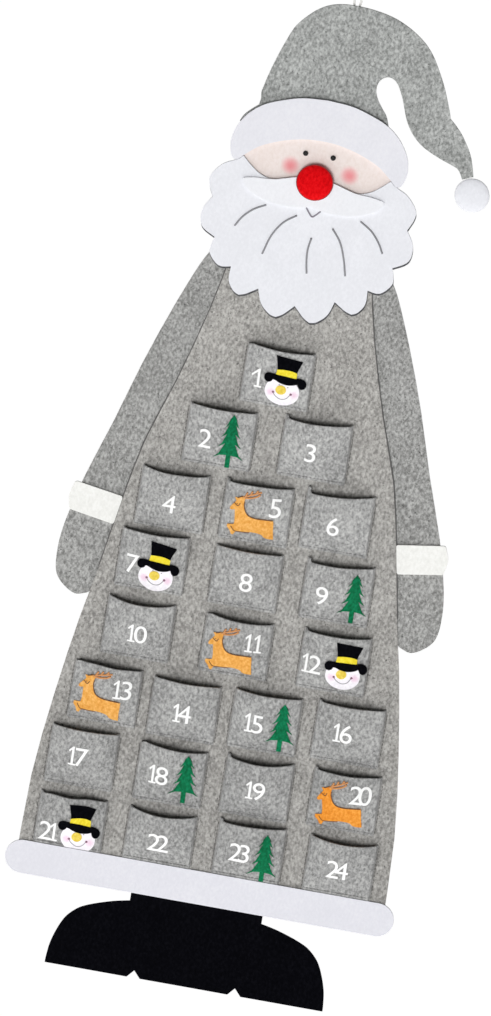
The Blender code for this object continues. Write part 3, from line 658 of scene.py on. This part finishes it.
# %% [markdown]
# ## Nose and pompom
#
# Both are padded discs: a round of felt drawn over a little filling and sewn down at its rim. The profile of
# such a pad is spun round its own axis, full in the middle and tucked in at the rim, and a few shallow puckers
# run in from the seam. Round the nose a dark red thread ring is painted shade: it draws the nose's shaded rim.

# %% Padded discs
pad_profile = (
    (0.0, 0.0), (0.93, 0.0), (0.98, 0.10), (1.0, 0.24), (0.985, 0.38), (0.94, 0.53), (0.86, 0.67),
    (0.74, 0.81), (0.58, 0.91), (0.40, 0.97), (0.20, 1.0), (0.0, 1.0),
)


def spun_disc(node, profile, wide, full, steps):
    """A CAD disc's shape, spun at the origin from its half profile, with its radius, depth and place."""
    low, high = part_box(node)
    radius, depth = wide * (high[0] - low[0]) / 2, full * (high[1] - low[1])
    shape = bmesh.new()
    verts = [shape.verts.new((share * radius, -rise * depth, 0)) for share, rise in profile]
    edges = [shape.edges.new(pair) for pair in zip(verts, verts[1:])]
    bmesh.ops.spin(
        shape, geom=verts + edges, cent=(0, 0, 0), axis=(0, 1, 0), angle=2 * math.pi, steps=steps,
        use_merge=True,
    )
    bmesh.ops.remove_doubles(shape, verts=shape.verts, dist=0.01 * mm)
    bmesh.ops.recalc_face_normals(shape, faces=shape.faces)
    return shape, radius, depth, Vector(((low[0] + high[0]) / 2, high[1], (low[2] + high[2]) / 2))


def pad(node, material, slot, puckers, swell, full):
    """A padded disc in a CAD disc's place: its profile is spun, and then puckered at the rim."""
    shape, radius, depth, centre = spun_disc(node, pad_profile, 1.0, full, 96)
    for vert in shape.verts:
        away = math.hypot(vert.co.x, vert.co.z) / radius
        turn = math.atan2(vert.co.z, vert.co.x)
        fold = 0.5 + 0.5 * math.sin(turn * puckers + 1.3 * math.sin(3 * turn))
        near_rim = max(0.0, 1 - abs(away - 0.9) / 0.28)
        vert.co.y += swell * fold * near_rim * (vert.co.y < -0.1 * depth)
    move(shape, centre)
    return keep(f"{node}_pad", shape, material, slot, node, sharp=0)


nose = pad("nose", red_felt, "red_felt", 13, 0.45 * mm, full=0.7)
pompom = pad("pompom", beard_felt, "white_felt", 11, 0.3 * mm, full=0.4)

# %% The nose's ring of painted shade
low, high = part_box("nose")
middle, reach = (low + high) / 2, (high[0] - low[0]) / 2 + 0.1 * mm
ring_steps, ring = 60, []
for step in range(ring_steps + 1):
    turn = 2 * math.pi * step / ring_steps
    ring.append((middle[0] + reach * math.cos(turn), high[1] - 1.2 * mm, middle[2] + reach * math.sin(turn)))
# A dark red thread ring at the nose's rim: painted shade for its shaded edge.
keep("nose_rim_shade", tube([ring], 0.5 * mm), nose_rim_shade_thread, "red_felt", sharp=0)
print(f"nose sewn round at {reach / mm:.1f} mm")

# %% [markdown]
# ## Eyes
#
# Each eye is a small black bead, sewn on flat side down. A half-round profile is spun, with a dimple where
# the thread goes through.

# %% Eyes
bead_profile = (
    (0.0, 0.0), (0.9, 0.0), (1.0, 0.2), (0.97, 0.45), (0.85, 0.72), (0.62, 0.92), (0.36, 1.0), (0.20, 0.98),
    (0.12, 0.86), (0.0, 0.82),
)
for node in ("eye_left", "eye_right"):
    shape, radius, depth, centre = spun_disc(node, bead_profile, 1.12, 1.0, 32)
    move(shape, centre)
    keep(f"{node}_bead", shape, black_bead, "black_bead", node, sharp=0)
    print(f"{node}: a bead {2 * radius / mm:.1f} mm across")

# %% [markdown]
# ## The shape of a pocket
#
# A pocket is one felt that stands off the gown. Its sides are pleated: a narrow gusset runs forward from the
# seam, and folds into the front. The front bows out towards the mouth and sags a little in the middle, so the
# mouth shows as a dark crescent. At the bottom it is sewn flat, and the seam draws a groove. Each pocket of
# the real one sags and leans by a different amount, in millimetres here by the pocket's number. A mouth with a
# lean is higher at its right side by that much, and lower at its left. Five small differences are drawn for
# each pocket, and two of them are used: how full it is, and how far its front leans sideways.

# %% Pocket measures
gown_front = -5.6 * mm
pocket_half, usual_height = 34 * mm, 60 * mm
front_half = pocket_half - 1.7 * mm
felt_thick = 2 * mm
pleat_deep, pleat_bulge = 7 * mm, 1.1 * mm
mouth_deep = 16 * mm
groove_deep = 0.9 * mm
mouth_sag = {
    1: 0.8, 2: 0.0, 3: 0.9, 4: 2.3, 5: 0.0, 6: 0.9, 7: 0.2, 8: 0.0, 9: 0.4, 10: 3.4, 11: 1.9, 12: 0.9,
    13: 0.0, 14: 0.0, 15: 0.3, 16: 0.3, 17: 0.0, 18: 2.0, 19: 2.9, 20: 0.9, 21: -1.0, 22: 3.4, 23: 0.0,
    24: 2.9,
}
mouth_lean = {
    1: -0.8, 3: 1.4, 5: 1.2, 6: 3.0, 9: 2.0, 11: -1.0, 12: 0.9, 13: -0.8, 16: 0.7, 18: -1.2, 19: 1.2, 20: 1.1,
    21: 0.9, 23: 1.4,
}
wavy_mouth = {21: 1.0, 13: 0.4, 4: 0.4}
pocket_boxes = {number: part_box(f"pocket_{number:02d}") for number in range(1, 25)}
hand = random.Random(24)
uneven = {number: [hand.uniform(-1, 1) for value in range(5)] for number in pocket_boxes}
fuller = {number: 1.0 * mm * draws[0] for number, draws in uneven.items()}
sway = {number: 0.7 * mm * draws[2] for number, draws in uneven.items()}


def pocket_home(number):
    """The middle of a pocket's bottom, on the gown's face."""
    low, high = pocket_boxes[number]
    return Vector(((low[0] + high[0]) / 2, gown_front, low[2]))


def pocket_height(number):
    """How tall a pocket is."""
    low, high = pocket_boxes[number]
    return high[2] - low[2]


def pocket_front(number, share, level):
    """The depth of a pocket's front and how far it hangs, at shares of its width and height."""
    seam_share = mouth_share = 0.07
    open_share = 1 - (1 - min(1.0, max(level - seam_share, 0) / (1 - seam_share))) ** 2
    bow = max(0.0, 1 - share * share)
    pleat = felt_thick + (pleat_deep - felt_thick) * open_share
    middle = felt_thick + (mouth_deep + fuller[number] - felt_thick) * open_share
    middle += 0.5 * mm * max(0.0, level - 1 + mouth_share) / mouth_share
    lean = mouth_lean.get(number, 0.0) * mm * share
    wave = wavy_mouth.get(number, 0.12) * mm * math.sin(5 * share + number)
    drop = level ** 1.5 * (mouth_sag[number] * mm * bow + wave * (1 - share ** 4) - lean)
    pucker = noise.noise(Vector((share * 2.2, level * 2.4, number * 7.3))) * min(1, level * 4)
    return pleat + (middle - pleat + 0.35 * mm * pucker) * bow, drop


print("pocket heights in mm:", sorted({round(pocket_height(number) / mm, 1) for number in pocket_boxes}))


# %% [markdown]
# ## Sewing a pocket
#
# A grid is mapped to the pocket's sections: columns for foot, gusset, fold and front, and rows from the bottom
# seam to the mouth, close together at the seam and the mouth so that they stay crisp. Solidify gives the felt
# its thickness on the inside, and one level of subdivision rounds the folds.

# %% Pocket maker
front_shares = (-0.95, -0.8, -0.6, -0.4, -0.2, 0.0, 0.2, 0.4, 0.6, 0.8, 0.95)
side_parts = (0.0, 0.5, 0.85, 1.0)
row_heights = (0.0, 1.5, 2.6, 3.2, 3.8, 5.0, 10, 18, 27, 36, 45, 52, 57.5, 59.3, 60)
groove_row = 3
grid_columns = 2 * len(side_parts) + len(front_shares) - 1
grid_rows = len(row_heights) - 1


def pocket_point(number, column, row):
    """Where one corner of the pocket's grid goes, from the pocket's middle and bottom."""
    level = row_heights[row] / row_heights[-1]
    up = level * pocket_height(number)
    side = -1 if column < grid_columns / 2 else 1
    inward = min(column, grid_columns - column)
    if inward < len(side_parts):
        part = side_parts[inward]
        depth, drop = pocket_front(number, 1.0, level)
        inset = (pocket_half - front_half) * part + pleat_bulge * math.sin(math.pi * part) * level
        return Vector((side * (pocket_half - inset), -depth * part, up - drop))
    share = front_shares[column - len(side_parts)]
    depth, drop = pocket_front(number, share, level)
    if row == groove_row:
        depth -= groove_deep
    return Vector((share * front_half, -depth, up - drop))


def sew_pocket(number):
    """One pleated pocket as an open sheet that a modifier thickens."""
    home = pocket_home(number)
    shape = bmesh.new()
    bmesh.ops.create_grid(shape, x_segments=grid_columns, y_segments=grid_rows, size=0.5)
    for vert in shape.verts:
        column, row = round((vert.co.x + 0.5) * grid_columns), round((vert.co.y + 0.5) * grid_rows)
        place = pocket_point(number, column, row)
        place.x -= sway[number] * place.z / usual_height * place.y / mouth_deep
        vert.co = home + place
    bmesh.ops.recalc_face_normals(shape, faces=shape.faces)
    if sum(face.normal.y for face in shape.faces) > 0:
        bmesh.ops.reverse_faces(shape, faces=shape.faces)
    name = f"pocket_{number:02d}"
    pocket = keep(f"{name}_felt", shape, pocket_felt, "grey_felt", name, sharp=0)
    wall = pocket.modifiers.new("felt", "SOLIDIFY")
    wall.thickness = felt_thick
    wall.offset = -1
    wall.use_even_offset = True
    soft = pocket.modifiers.new("soft", "SUBSURF")
    soft.levels = soft.render_levels = 1
    return pocket


pockets = {number: sew_pocket(number) for number in pocket_boxes}
print(len(pockets), "pockets, each cut from about 80 x 60 mm")

# %% [markdown]
# ## Laying things on a pocket
#
# Numbers and motifs are flat, but a pocket's front is bowed. A flat shape is made round the pocket's own
# middle and bottom, cut into a grid, and each of its points is then pushed out by the depth that the front has
# there. It is the same function that shaped the pocket, so the two fit everywhere.

# %% Lay on pocket
def add_shape(whole, part):
    """Adds one shape to another."""
    mesh = bpy.data.meshes.new("part")
    part.to_mesh(mesh)
    part.free()
    whole.from_mesh(mesh)
    bpy.data.meshes.remove(mesh)


def lay_on_pocket(shape, number, grid=None):
    """Bends a flat shape, made from the pocket's middle and bottom, round the front of that pocket."""
    if grid:
        cut_grid(shape, grid)
    height = pocket_height(number)
    for vert in shape.verts:
        level = vert.co.z / height
        depth, drop = pocket_front(number, vert.co.x / front_half, level)
        vert.co += Vector((sway[number] * level * depth / mouth_deep, -depth, -drop))
    move(shape, pocket_home(number))


# %% [markdown]
# ## Pocket seams
#
# A row of machine stitches closes each pocket along its bottom, and one along each side holds its pleat to the
# gown. Their dark thread is partly painted shade: it also draws the dark crease lines along the pockets' sides
# and bottoms. A stitch is 3.2 mm long with 0.4 mm to the next one, sunk at both ends, so a stretched ball with
# few faces is enough.

# %% Pocket seams
stitch_long, stitch_pitch, stitch_thick = 3.2 * mm, 3.6 * mm, 0.7 * mm
bottom_seam_up, side_seam_up = 2.6 * mm, 2 * mm


def add_stitch(shape, place, upright):
    """Adds one stitch of a seam, level or upright."""
    made = bmesh.ops.create_uvsphere(shape, u_segments=8, v_segments=4, radius=0.5)["verts"]
    bmesh.ops.scale(shape, verts=made, vec=(stitch_thick, 1.6 * stitch_thick, stitch_long))
    if not upright:
        bmesh.ops.rotate(shape, verts=made, matrix=Quaternion((0, 1, 0), math.pi / 2).to_matrix())
    bmesh.ops.translate(shape, verts=made, vec=place)


def sew_seams(number):
    """The bottom seam and the two side seams of a pocket, as one piece."""
    bottom, sides = bmesh.new(), bmesh.new()
    count = int(2 * (front_half - 1 * mm) / stitch_pitch)
    for stitch in range(count):
        across = (stitch - (count - 1) / 2) * stitch_pitch
        add_stitch(bottom, (across, 0.6 * mm, bottom_seam_up), upright=False)
    lay_on_pocket(bottom, number)
    beside = pocket_half + 0.45 * mm
    for stitch in range(int((pocket_height(number) - 3 * mm) / stitch_pitch)):
        for across in (-beside, beside):
            add_stitch(sides, (across, -0.1 * mm, side_seam_up + (stitch + 0.5) * stitch_pitch), upright=True)
    move(sides, pocket_home(number))
    add_shape(bottom, sides)
    return keep(f"pocket_{number:02d}_seam", bottom, seam_and_shade_thread, "grey_felt", sharp=0)


seams = {number: sew_seams(number) for number in pocket_boxes}
print(len(seams), "pockets sewn down")

# %% [markdown]
# ## Numbers
#
# Plain white numbers, 20 mm tall, are printed on the pockets. The built-in font has the right light, round
# digits except for its 1, which is a bare stroke, so that one is drawn with its flag and foot. Text is made a
# mesh first, then laid on the pocket like everything else.

# %% Digit shapes
digit_height = 20 * mm
font_scale = digit_height / 0.70


def middle_of(shape):
    """Halfway between a shape's left and right ends."""
    wide = [vert.co.x for vert in shape.verts]
    return (min(wide) + max(wide)) / 2


def digit(character, across, flag):
    """One digit as a flat shape, with its middle moved across. Flag is the reach of a 1's flag."""
    middle = 0.0
    if character == "1":
        outline = ((-3.7, 0), (3.7, 0), (3.7, 1.8), (1.15, 1.8), (1.15, 20.1), (-0.4, 20.1),
                   (-flag, 19.6 - 0.9 * flag), (0.9 - flag, 17.9 - 0.9 * flag), (-1.15, 16.6), (-1.15, 1.8),
                   (-3.7, 1.8))
        shape = bmesh.new()
        shape.faces.new([shape.verts.new((x * mm, 0, z * mm)) for x, z in outline])
    else:
        words = bpy.data.curves.new("digit", "FONT")
        words.body = character
        words.size = font_scale
        words.resolution_u = 5
        words.offset = 0.02 * mm
        shape = shape_of_curve(words)
        bmesh.ops.rotate(shape, verts=shape.verts, matrix=Quaternion((1, 0, 0), math.pi / 2).to_matrix())
        middle = middle_of(shape)
    move(shape, (across - middle, 0, -digit_height / 2))
    return shape


# %% Print the numbers
number_places = {
    1: (-19.4, 27.9), 2: (-13.4, 28.3), 3: (-3.3, 30.0), 4: (-2.0, 28.0), 5: (18.4, 40.8), 6: (-2.7, 29.4),
    7: (-18.4, 26.6), 8: (1.2, 28.9), 9: (-13.9, 27.9), 10: (0.4, 28.2), 11: (16.4, 39.8), 12: (-21.1, 27.3),
    13: (16.5, 39.2), 14: (-0.7, 29.0), 15: (-10.1, 29.8), 16: (-5.0, 32.7), 17: (-3.3, 33.0),
    18: (-11.0, 30.7), 19: (-0.7, 31.6), 20: (15.6, 41.6), 21: (-19.7, 14.3), 22: (-0.2, 24.1),
    23: (-9.1, 28.1), 24: (-1.8, 29.1),
}
usual_step, closer_step = 8.7 * mm, {14: 7.2 * mm}
usual_flag, lone_flag = 4.4, 7.4
print_thick = 0.5 * mm
for number, (across, up) in number_places.items():
    text = str(number)
    shape = bmesh.new()
    for index, character in enumerate(text):
        step = closer_step.get(number, usual_step) * (index - (len(text) - 1) / 2)
        add_shape(shape, digit(character, step, lone_flag if text == "1" else usual_flag))
    made = bmesh.ops.extrude_face_region(shape, geom=shape.faces[:])["geom"]
    raised = [item for item in made if isinstance(item, bmesh.types.BMVert)]
    bmesh.ops.translate(shape, verts=raised, vec=(0, -print_thick, 0))
    bmesh.ops.recalc_face_normals(shape, faces=shape.faces)
    move(shape, (across * mm - middle_of(shape), 0.1 * mm, up * mm))
    lay_on_pocket(shape, number, grid=3 * mm)
    keep(f"number_{number}", shape, print_white, "grey_felt", sharp=30)

# %% [markdown]
# ## Motif layers
#
# The pockets' decorations are thin die-cut felts, some of several layers glued on each other. One helper cuts
# a layer from an outline in millimetres, lays it on the pocket and keeps it. Raised is how far its back is from
# the pocket's felt.

# %% Motif helpers
cut_raised, cut_thick = 0.1 * mm, 1.2 * mm


def points_of(pairs, centre=(0.0, 0.0), tilt=0.0):
    """(across, up) pairs in millimetres as points, tilted clockwise about a centre."""
    turned = []
    for across, up in pairs:
        x, z = across - centre[0], up - centre[1]
        cosine, sine = math.cos(math.radians(tilt)), math.sin(math.radians(tilt))
        turned.append(Vector((centre[0] + x * cosine + z * sine, centre[1] + z * cosine - x * sine)) * mm)
    return turned


def oval(centre, width, height, count=48, flat=0.0):
    """An oval. With flat above zero its lower half is fuller."""
    places = []
    for index in range(count):
        turn = 2 * math.pi * index / count
        full = 1 + flat * max(0.0, -math.sin(turn)) * abs(math.cos(turn))
        places.append((centre[0] + width / 2 * math.cos(turn) * full, centre[1] + height / 2 * math.sin(turn)))
    return places


def above_hem(points, shift, clear=0.6 * mm):
    """An outline cut off at the pocket's bottom, where the hem band lies over the rest of it."""
    return [Vector((point.x, max(point.y, clear - shift.y))) for point in points]


def motif_layer(name, points, number, shift, raised, thick, material, slot, *nodes, grid=4 * mm):
    """One thin felt layer of a motif. Shift is its place from the pocket's middle and bottom."""
    moved = [point + shift for point in points]
    shape = sewn_panel(moved, -raised - thick, -raised, edge=0.25 * mm, grid=grid)
    lay_on_pocket(shape, number)
    return keep(name, shape, material, slot, *nodes)


def hung_shift(number, across, drop, height):
    """The place of a motif's foot, where its top hangs this many millimetres below the pocket's mouth."""
    return Vector((across * mm, pocket_height(number) - (drop + height) * mm))


# %% [markdown]
# ## Spruces
#
# Five pockets carry a slim green spruce, 28 by 50 to 57 mm. Its five tiers end in pointed barbs that hang down
# and outwards, the lowest ones longest, above a short trunk. Each was cut by hand, so they differ a little.

# %% Spruces
tree_height, trunk_half = 53.0, 2.3
barbs = ((9.4, 14.0), (20.4, 11.2), (30.2, 9.4), (39.6, 7.0), (46.6, 4.3))


def spruce_outline(left_droop):
    """The spruce's outline in millimetres from its foot. A barb is its tip's height and reach.

    Its lower edge runs in from the tip at a slant, and its upper edge up to the notch below the next barb.
    """
    half = [(trunk_half, 0.0), (trunk_half, barbs[0][0] + 3.4)]
    for (tip, reach), (above, narrower) in zip(barbs, barbs[1:] + ((tree_height, 0.0),)):
        half += [(0.62 * reach, tip + 2.6), (reach, tip), (0.72 * reach, tip + 3.6)]
        if above < tree_height:
            half.append((0.42 * narrower, above + 4.2))
    half[-1] = (1.5, tree_height - 2.4)
    left = [(-across, up) for across, up in reversed(half)]
    lowest = left.index((-barbs[0][1], barbs[0][0]))
    left[lowest] = (left[lowest][0] - left_droop, left[lowest][1] - left_droop)
    return half + [(0.0, tree_height)] + left


tree_places = {
    2: (11.2, 1.0, 1.07, 0.4), 9: (17.4, 3.2, 0.97, 0.4), 15: (17.5, 3.6, 0.97, 0.4),
    18: (15.8, 4.2, 1.0, 1.4), 23: (15.7, -2.0, 1.0, 1.4),
}
for count, (number, (across, foot, size, left_droop)) in enumerate(tree_places.items(), 1):
    name, shift = f"tree_{count}", Vector((across, foot)) * mm
    points = above_hem(points_of([(x, z * size) for x, z in spruce_outline(left_droop)]), shift)
    tree = motif_layer(
        f"{name}_felt", points, number, shift, cut_raised, cut_thick, green_felt, "green_felt", name
    )
print(len(tree_places), "spruces")

# %% [markdown]
# ## Snowmen
#
# Four pockets carry a snowman's head in a top hat. It is built up as the real one is: a white head, the hat's
# crown, a yellow ribbon, a brim with drooping ends, and an ochre nose. Blush is dabbed on the cheeks, and the
# eyes, the smile and its dimples are embroidered.

# %% Snowman outlines, in millimetres from the chin
head_middle = (0.0, 15.2)
snowman_height = 51.2
head_outline = oval(head_middle, 33.7, 30.4, flat=0.04)
crown_outline = (
    (-8.6, 30.8), (10.8, 30.8), (10.5, 38.0), (13.7, 50.4), (0.6, 51.7), (-12.3, 51.9), (-8.6, 38.0),
)
ribbon_outline = (
    (-8.9, 32.0), (-3.6, 31.2), (1.4, 31.0), (6.5, 31.5), (11.4, 32.0), (10.9, 38.0), (6.0, 39.2), (0.9, 39.4),
    (-4.0, 38.9), (-8.8, 37.8),
)
brim_outline = (
    (-10.8, 26.6), (-12.2, 23.8), (-15.0, 22.3), (-18.0, 23.6), (-19.6, 27.0), (-18.6, 30.6), (-15.6, 32.2),
    (-12.0, 32.2), (-8.6, 32.4), (-3.0, 32.6), (1.4, 32.6), (6.0, 32.4), (11.0, 32.4), (14.6, 32.8),
    (18.2, 32.2), (21.2, 29.6), (22.0, 26.0), (20.4, 22.9), (17.6, 21.9), (15.2, 23.4), (13.6, 27.0),
    (10.0, 25.0), (3.1, 23.6), (-4.0, 24.6), (-8.0, 26.2),
)
nose_outline = oval((-1.4, 16.8), 10.2, 10.2, 36)
cheek_places = ((-10.8, 13.6), (11.8, 15.6))
smile_line = ((-8.2, 12.6), (-5.6, 9.2), (-0.4, 6.6), (5.0, 8.2), (8.8, 14.0))
snowman_stitches = (
    ("eyes", ((-4.0, 22.2), (4.6, 21.2)), 1.1 * mm, 1.4 * mm, grey_thread),
    ("smile", smile_line, 0.7 * mm, 1.3 * mm, grey_thread),
    ("dimples", ((-8.3, 12.8), (8.9, 14.2)), 2.4 * mm, 1.3 * mm, plum_thread),
)


def knots(name, places, size, number, shift, raised, material, slot):
    """Small flat round knots of thread, laid on a pocket."""
    shape = bmesh.new()
    for place in places:
        made = bmesh.ops.create_uvsphere(shape, u_segments=12, v_segments=8, radius=size / 2)["verts"]
        bmesh.ops.scale(shape, verts=made, vec=(1, 0.6, 1))
        bmesh.ops.translate(shape, verts=made, vec=(place.x + shift.x, -raised, place.y + shift.y))
    lay_on_pocket(shape, number)
    return keep(name, shape, material, slot, sharp=0)


def laid_thread(name, lines, radius, number, shift, raised, material, slot):
    """Thread along lines of points, laid on a pocket."""
    shape = flat_lines([[point + shift for point in line] for line in lines], -raised, radius)
    lay_on_pocket(shape, number)
    return keep(name, shape, material, slot, sharp=0)


# %% Snowmen
snowman_places = {
    1: (6.7, 5.7, 5.0, (-0.4, 0.0), 0), 7: (5.8, 7.6, 5.5, (-1.0, -0.6), 3),
    12: (10.6, 3.5, 0.0, (0.8, -2.8), 4), 21: (9.8, 5.0, 6.0, (-2.4, -1.7), -4),
}
snowman_layers = (
    ("crown", crown_outline, 0.4 * mm, 1.3 * mm, black_felt, "black_felt"),
    ("ribbon", ribbon_outline, 0.9 * mm, 1.2 * mm, yellow_felt, "snowman_felt"),
    ("brim", brim_outline, 1.3 * mm, 1.3 * mm, black_felt, "black_felt"),
    ("nose", nose_outline, 1.2 * mm, 0.9 * mm, ochre_felt, "snowman_felt"),
)
for count, (number, (across, drop, tilt, hat_shift, hat_lean)) in enumerate(snowman_places.items(), 1):
    name, shift = f"snowman_{count}", hung_shift(number, across, drop, snowman_height)
    head_points = above_hem(points_of(head_outline, head_middle, tilt), shift)
    head = motif_layer(
        f"{name}_head", head_points, number, shift, cut_raised, cut_thick, snow_felt, "snowman_felt", name,
        grid=2 * mm,
    )
    home = pocket_home(number)
    chin = Vector((home.x, home.z - 1.5 * mm)) + shift
    paint_blush(head, [chin + cheek for cheek in points_of(cheek_places, head_middle, tilt)], 5 * mm, 0.6)
    for part, outline, raised, thick, material, slot in snowman_layers:
        if part != "nose":
            outline = [(x + hat_shift[0], z + hat_shift[1]) for x, z in outline]
        if part in ("crown", "ribbon"):
            outline = [point / mm for point in points_of(outline, (1.0, 31.0), hat_lean)]
        points = rounded_outline(points_of(outline, head_middle, tilt), corner=50, step=1 * mm)
        motif_layer(f"{name}_{part}", points, number, shift, raised, thick, material, slot)
    for part, places, size, raised, spun in snowman_stitches:
        places = points_of(places, head_middle, tilt)
        where = (number, shift, raised, spun, "snowman_felt")
        if part == "smile":
            laid_thread(f"{name}_{part}", [places], size / 2, *where)
        else:
            knots(f"{name}_{part}", places, size, *where)
print(len(snowman_places), "snowmen")

# %% [markdown]
# ## Reindeer
#
# Four pockets carry a leaping reindeer in orange felt. Its antlers are rust-brown thread, swept back, and
# finer brown thread draws its back, ear, eye and folded forelegs.

# %% Reindeer outline, in millimetres from its middle and its feet
deer_height = 45.0
deer_outline = (
    (-23.0, 27.2), (-20.3, 31.6), (-17.6, 35.6), (-19.4, 38.8), (-15.6, 39.4), (-12.3, 41.4), (-10.0, 40.6),
    (-9.2, 38.4), (-9.6, 36.4), (-9.9, 33.0), (-9.0, 29.0),
    (-7.4, 25.3), (-4.6, 22.4), (-0.8, 20.9), (4.5, 20.3), (12.0, 20.5), (20.4, 20.6), (21.2, 16.5),
    (21.6, 10.0), (22.4, 4.0), (22.8, 0.4), (17.0, 0.2), (13.4, 1.2), (11.0, 3.4), (4.5, 4.6), (-3.0, 4.2),
    (-9.0, 3.4), (-13.2, 3.2), (-15.6, 0.6), (-16.4, -1.4), (-18.6, -1.0), (-20.6, 3.0), (-23.6, 6.6),
    (-23.2, 9.2), (-19.6, 9.6), (-17.2, 10.2), (-16.9, 14.0), (-17.3, 19.0), (-17.8, 23.4), (-18.3, 26.2),
    (-21.2, 25.0), (-22.8, 25.4),
)
deer_lines = (
    ((-9.0, 36.0), (-9.5, 33.0), (-8.6, 29.0), (-7.0, 25.2), (-4.3, 22.1), (-0.6, 20.5), (4.5, 19.9),
     (12.0, 20.1), (20.2, 20.2)),
    ((-19.8, 7.6), (-16.5, 3.4), (-13.0, 2.8), (-7.0, 3.2), (-1.0, 3.8)),
    ((-16.8, 32.9), (-16.2, 32.4)),
    ((-19.5, 33.0), (-15.5, 30.5), (-13.5, 33.5)),
    ((-17.0, 38.6), (-12.0, 41.0)),
)
antler_lines = (
    ((-12.0, 39.6), (-6.5, 42.6), (0.0, 45.4), (6.0, 48.0)),
    ((-9.8, 39.4), (-4.0, 40.6), (1.4, 42.6), (5.0, 45.4)),
    ((-9.6, 41.0), (-8.6, 43.4), (-7.6, 45.8)),
    ((-4.6, 43.4), (-3.8, 45.6), (-3.0, 47.8)),
    ((0.4, 45.4), (1.4, 47.4), (2.4, 49.2)),
)

# %% Reindeer
deer_places = {
    5: (-2.7, 7.8, 0, orange_felt), 11: (-4.2, 10.4, 0, orange_felt), 13: (-3.9, 7.8, 6, orange_felt),
    20: (-3.0, 9.0, -3, bright_orange_felt),
}
deer_middle = (0.0, deer_height / 2)
deer_threads = (
    ("lines", deer_lines, 0.4 * mm, 1.3 * mm, brown_thread),
    ("antlers", antler_lines, 1.0 * mm, 0.4 * mm, rust_thread),
)
for count, (number, (across, drop, tilt, material)) in enumerate(deer_places.items(), 1):
    name, shift = f"reindeer_{count}", hung_shift(number, across, drop, deer_height)
    points = rounded_outline(points_of(deer_outline, deer_middle, tilt), corner=50, step=1.2 * mm)
    deer = motif_layer(
        f"{name}_felt", points, number, shift, cut_raised, cut_thick, material, "orange_felt", name
    )
    for part, lines, radius, raised, spun in deer_threads:
        lines = [points_of(line, deer_middle, tilt) for line in lines]
        laid_thread(f"{name}_{part}", lines, radius, number, shift, raised, spun, "orange_felt")
print(len(deer_places), "reindeer")

# %% [markdown]
# ## The hanging loop
#
# The loop is a thin cotton cord, sewn behind the crown by both ends. It is laid from three strands, each of
# which winds round the cord's own line once in 8 mm, which gives a laid cord its oblique look.

# %% Hanging loop
strand_thick, strand_off, lay_length = 1.3 * mm, 0.62 * mm, 8 * mm
hinge = Vector((0.0, 1.55 * mm, -31.75 * mm))
loop_route = (
    (-2.8, -8.0), (-2.8, 0.0), (-4.6, 10.0), (-7.4, 20.0), (-6.2, 28.5), (0.0, 33.0), (6.2, 28.5), (7.4, 20.0),
    (4.6, 10.0), (2.8, 0.0), (2.8, -8.0),
)
line = smooth_line([Vector(point) * mm for point in loop_route], 8)
route = [hinge + Vector((point.x, 0, point.y)) for point in line]
gone = [0.0]
for before, after in zip(route, route[1:]):
    gone.append(gone[-1] + (after - before).length)
strands, outward = [], Vector((0, 1, 0))
for strand in range(3):
    line = []
    for index, place in enumerate(route):
        along = (route[min(index + 1, len(route) - 1)] - route[max(index - 1, 0)]).normalized()
        side = outward.cross(along)
        turn = 2 * math.pi * (gone[index] / lay_length + strand / 3)
        line.append(place + strand_off * (math.cos(turn) * side + math.sin(turn) * outward))
    strands.append(line)
loop = keep("hanging_loop_cord", tube(strands, strand_thick / 2), white_cotton, "white_cord", "hanging_loop",
            body="loop", sharp=0)
print(f"loop cord {gone[-1] / mm:.0f} mm long")
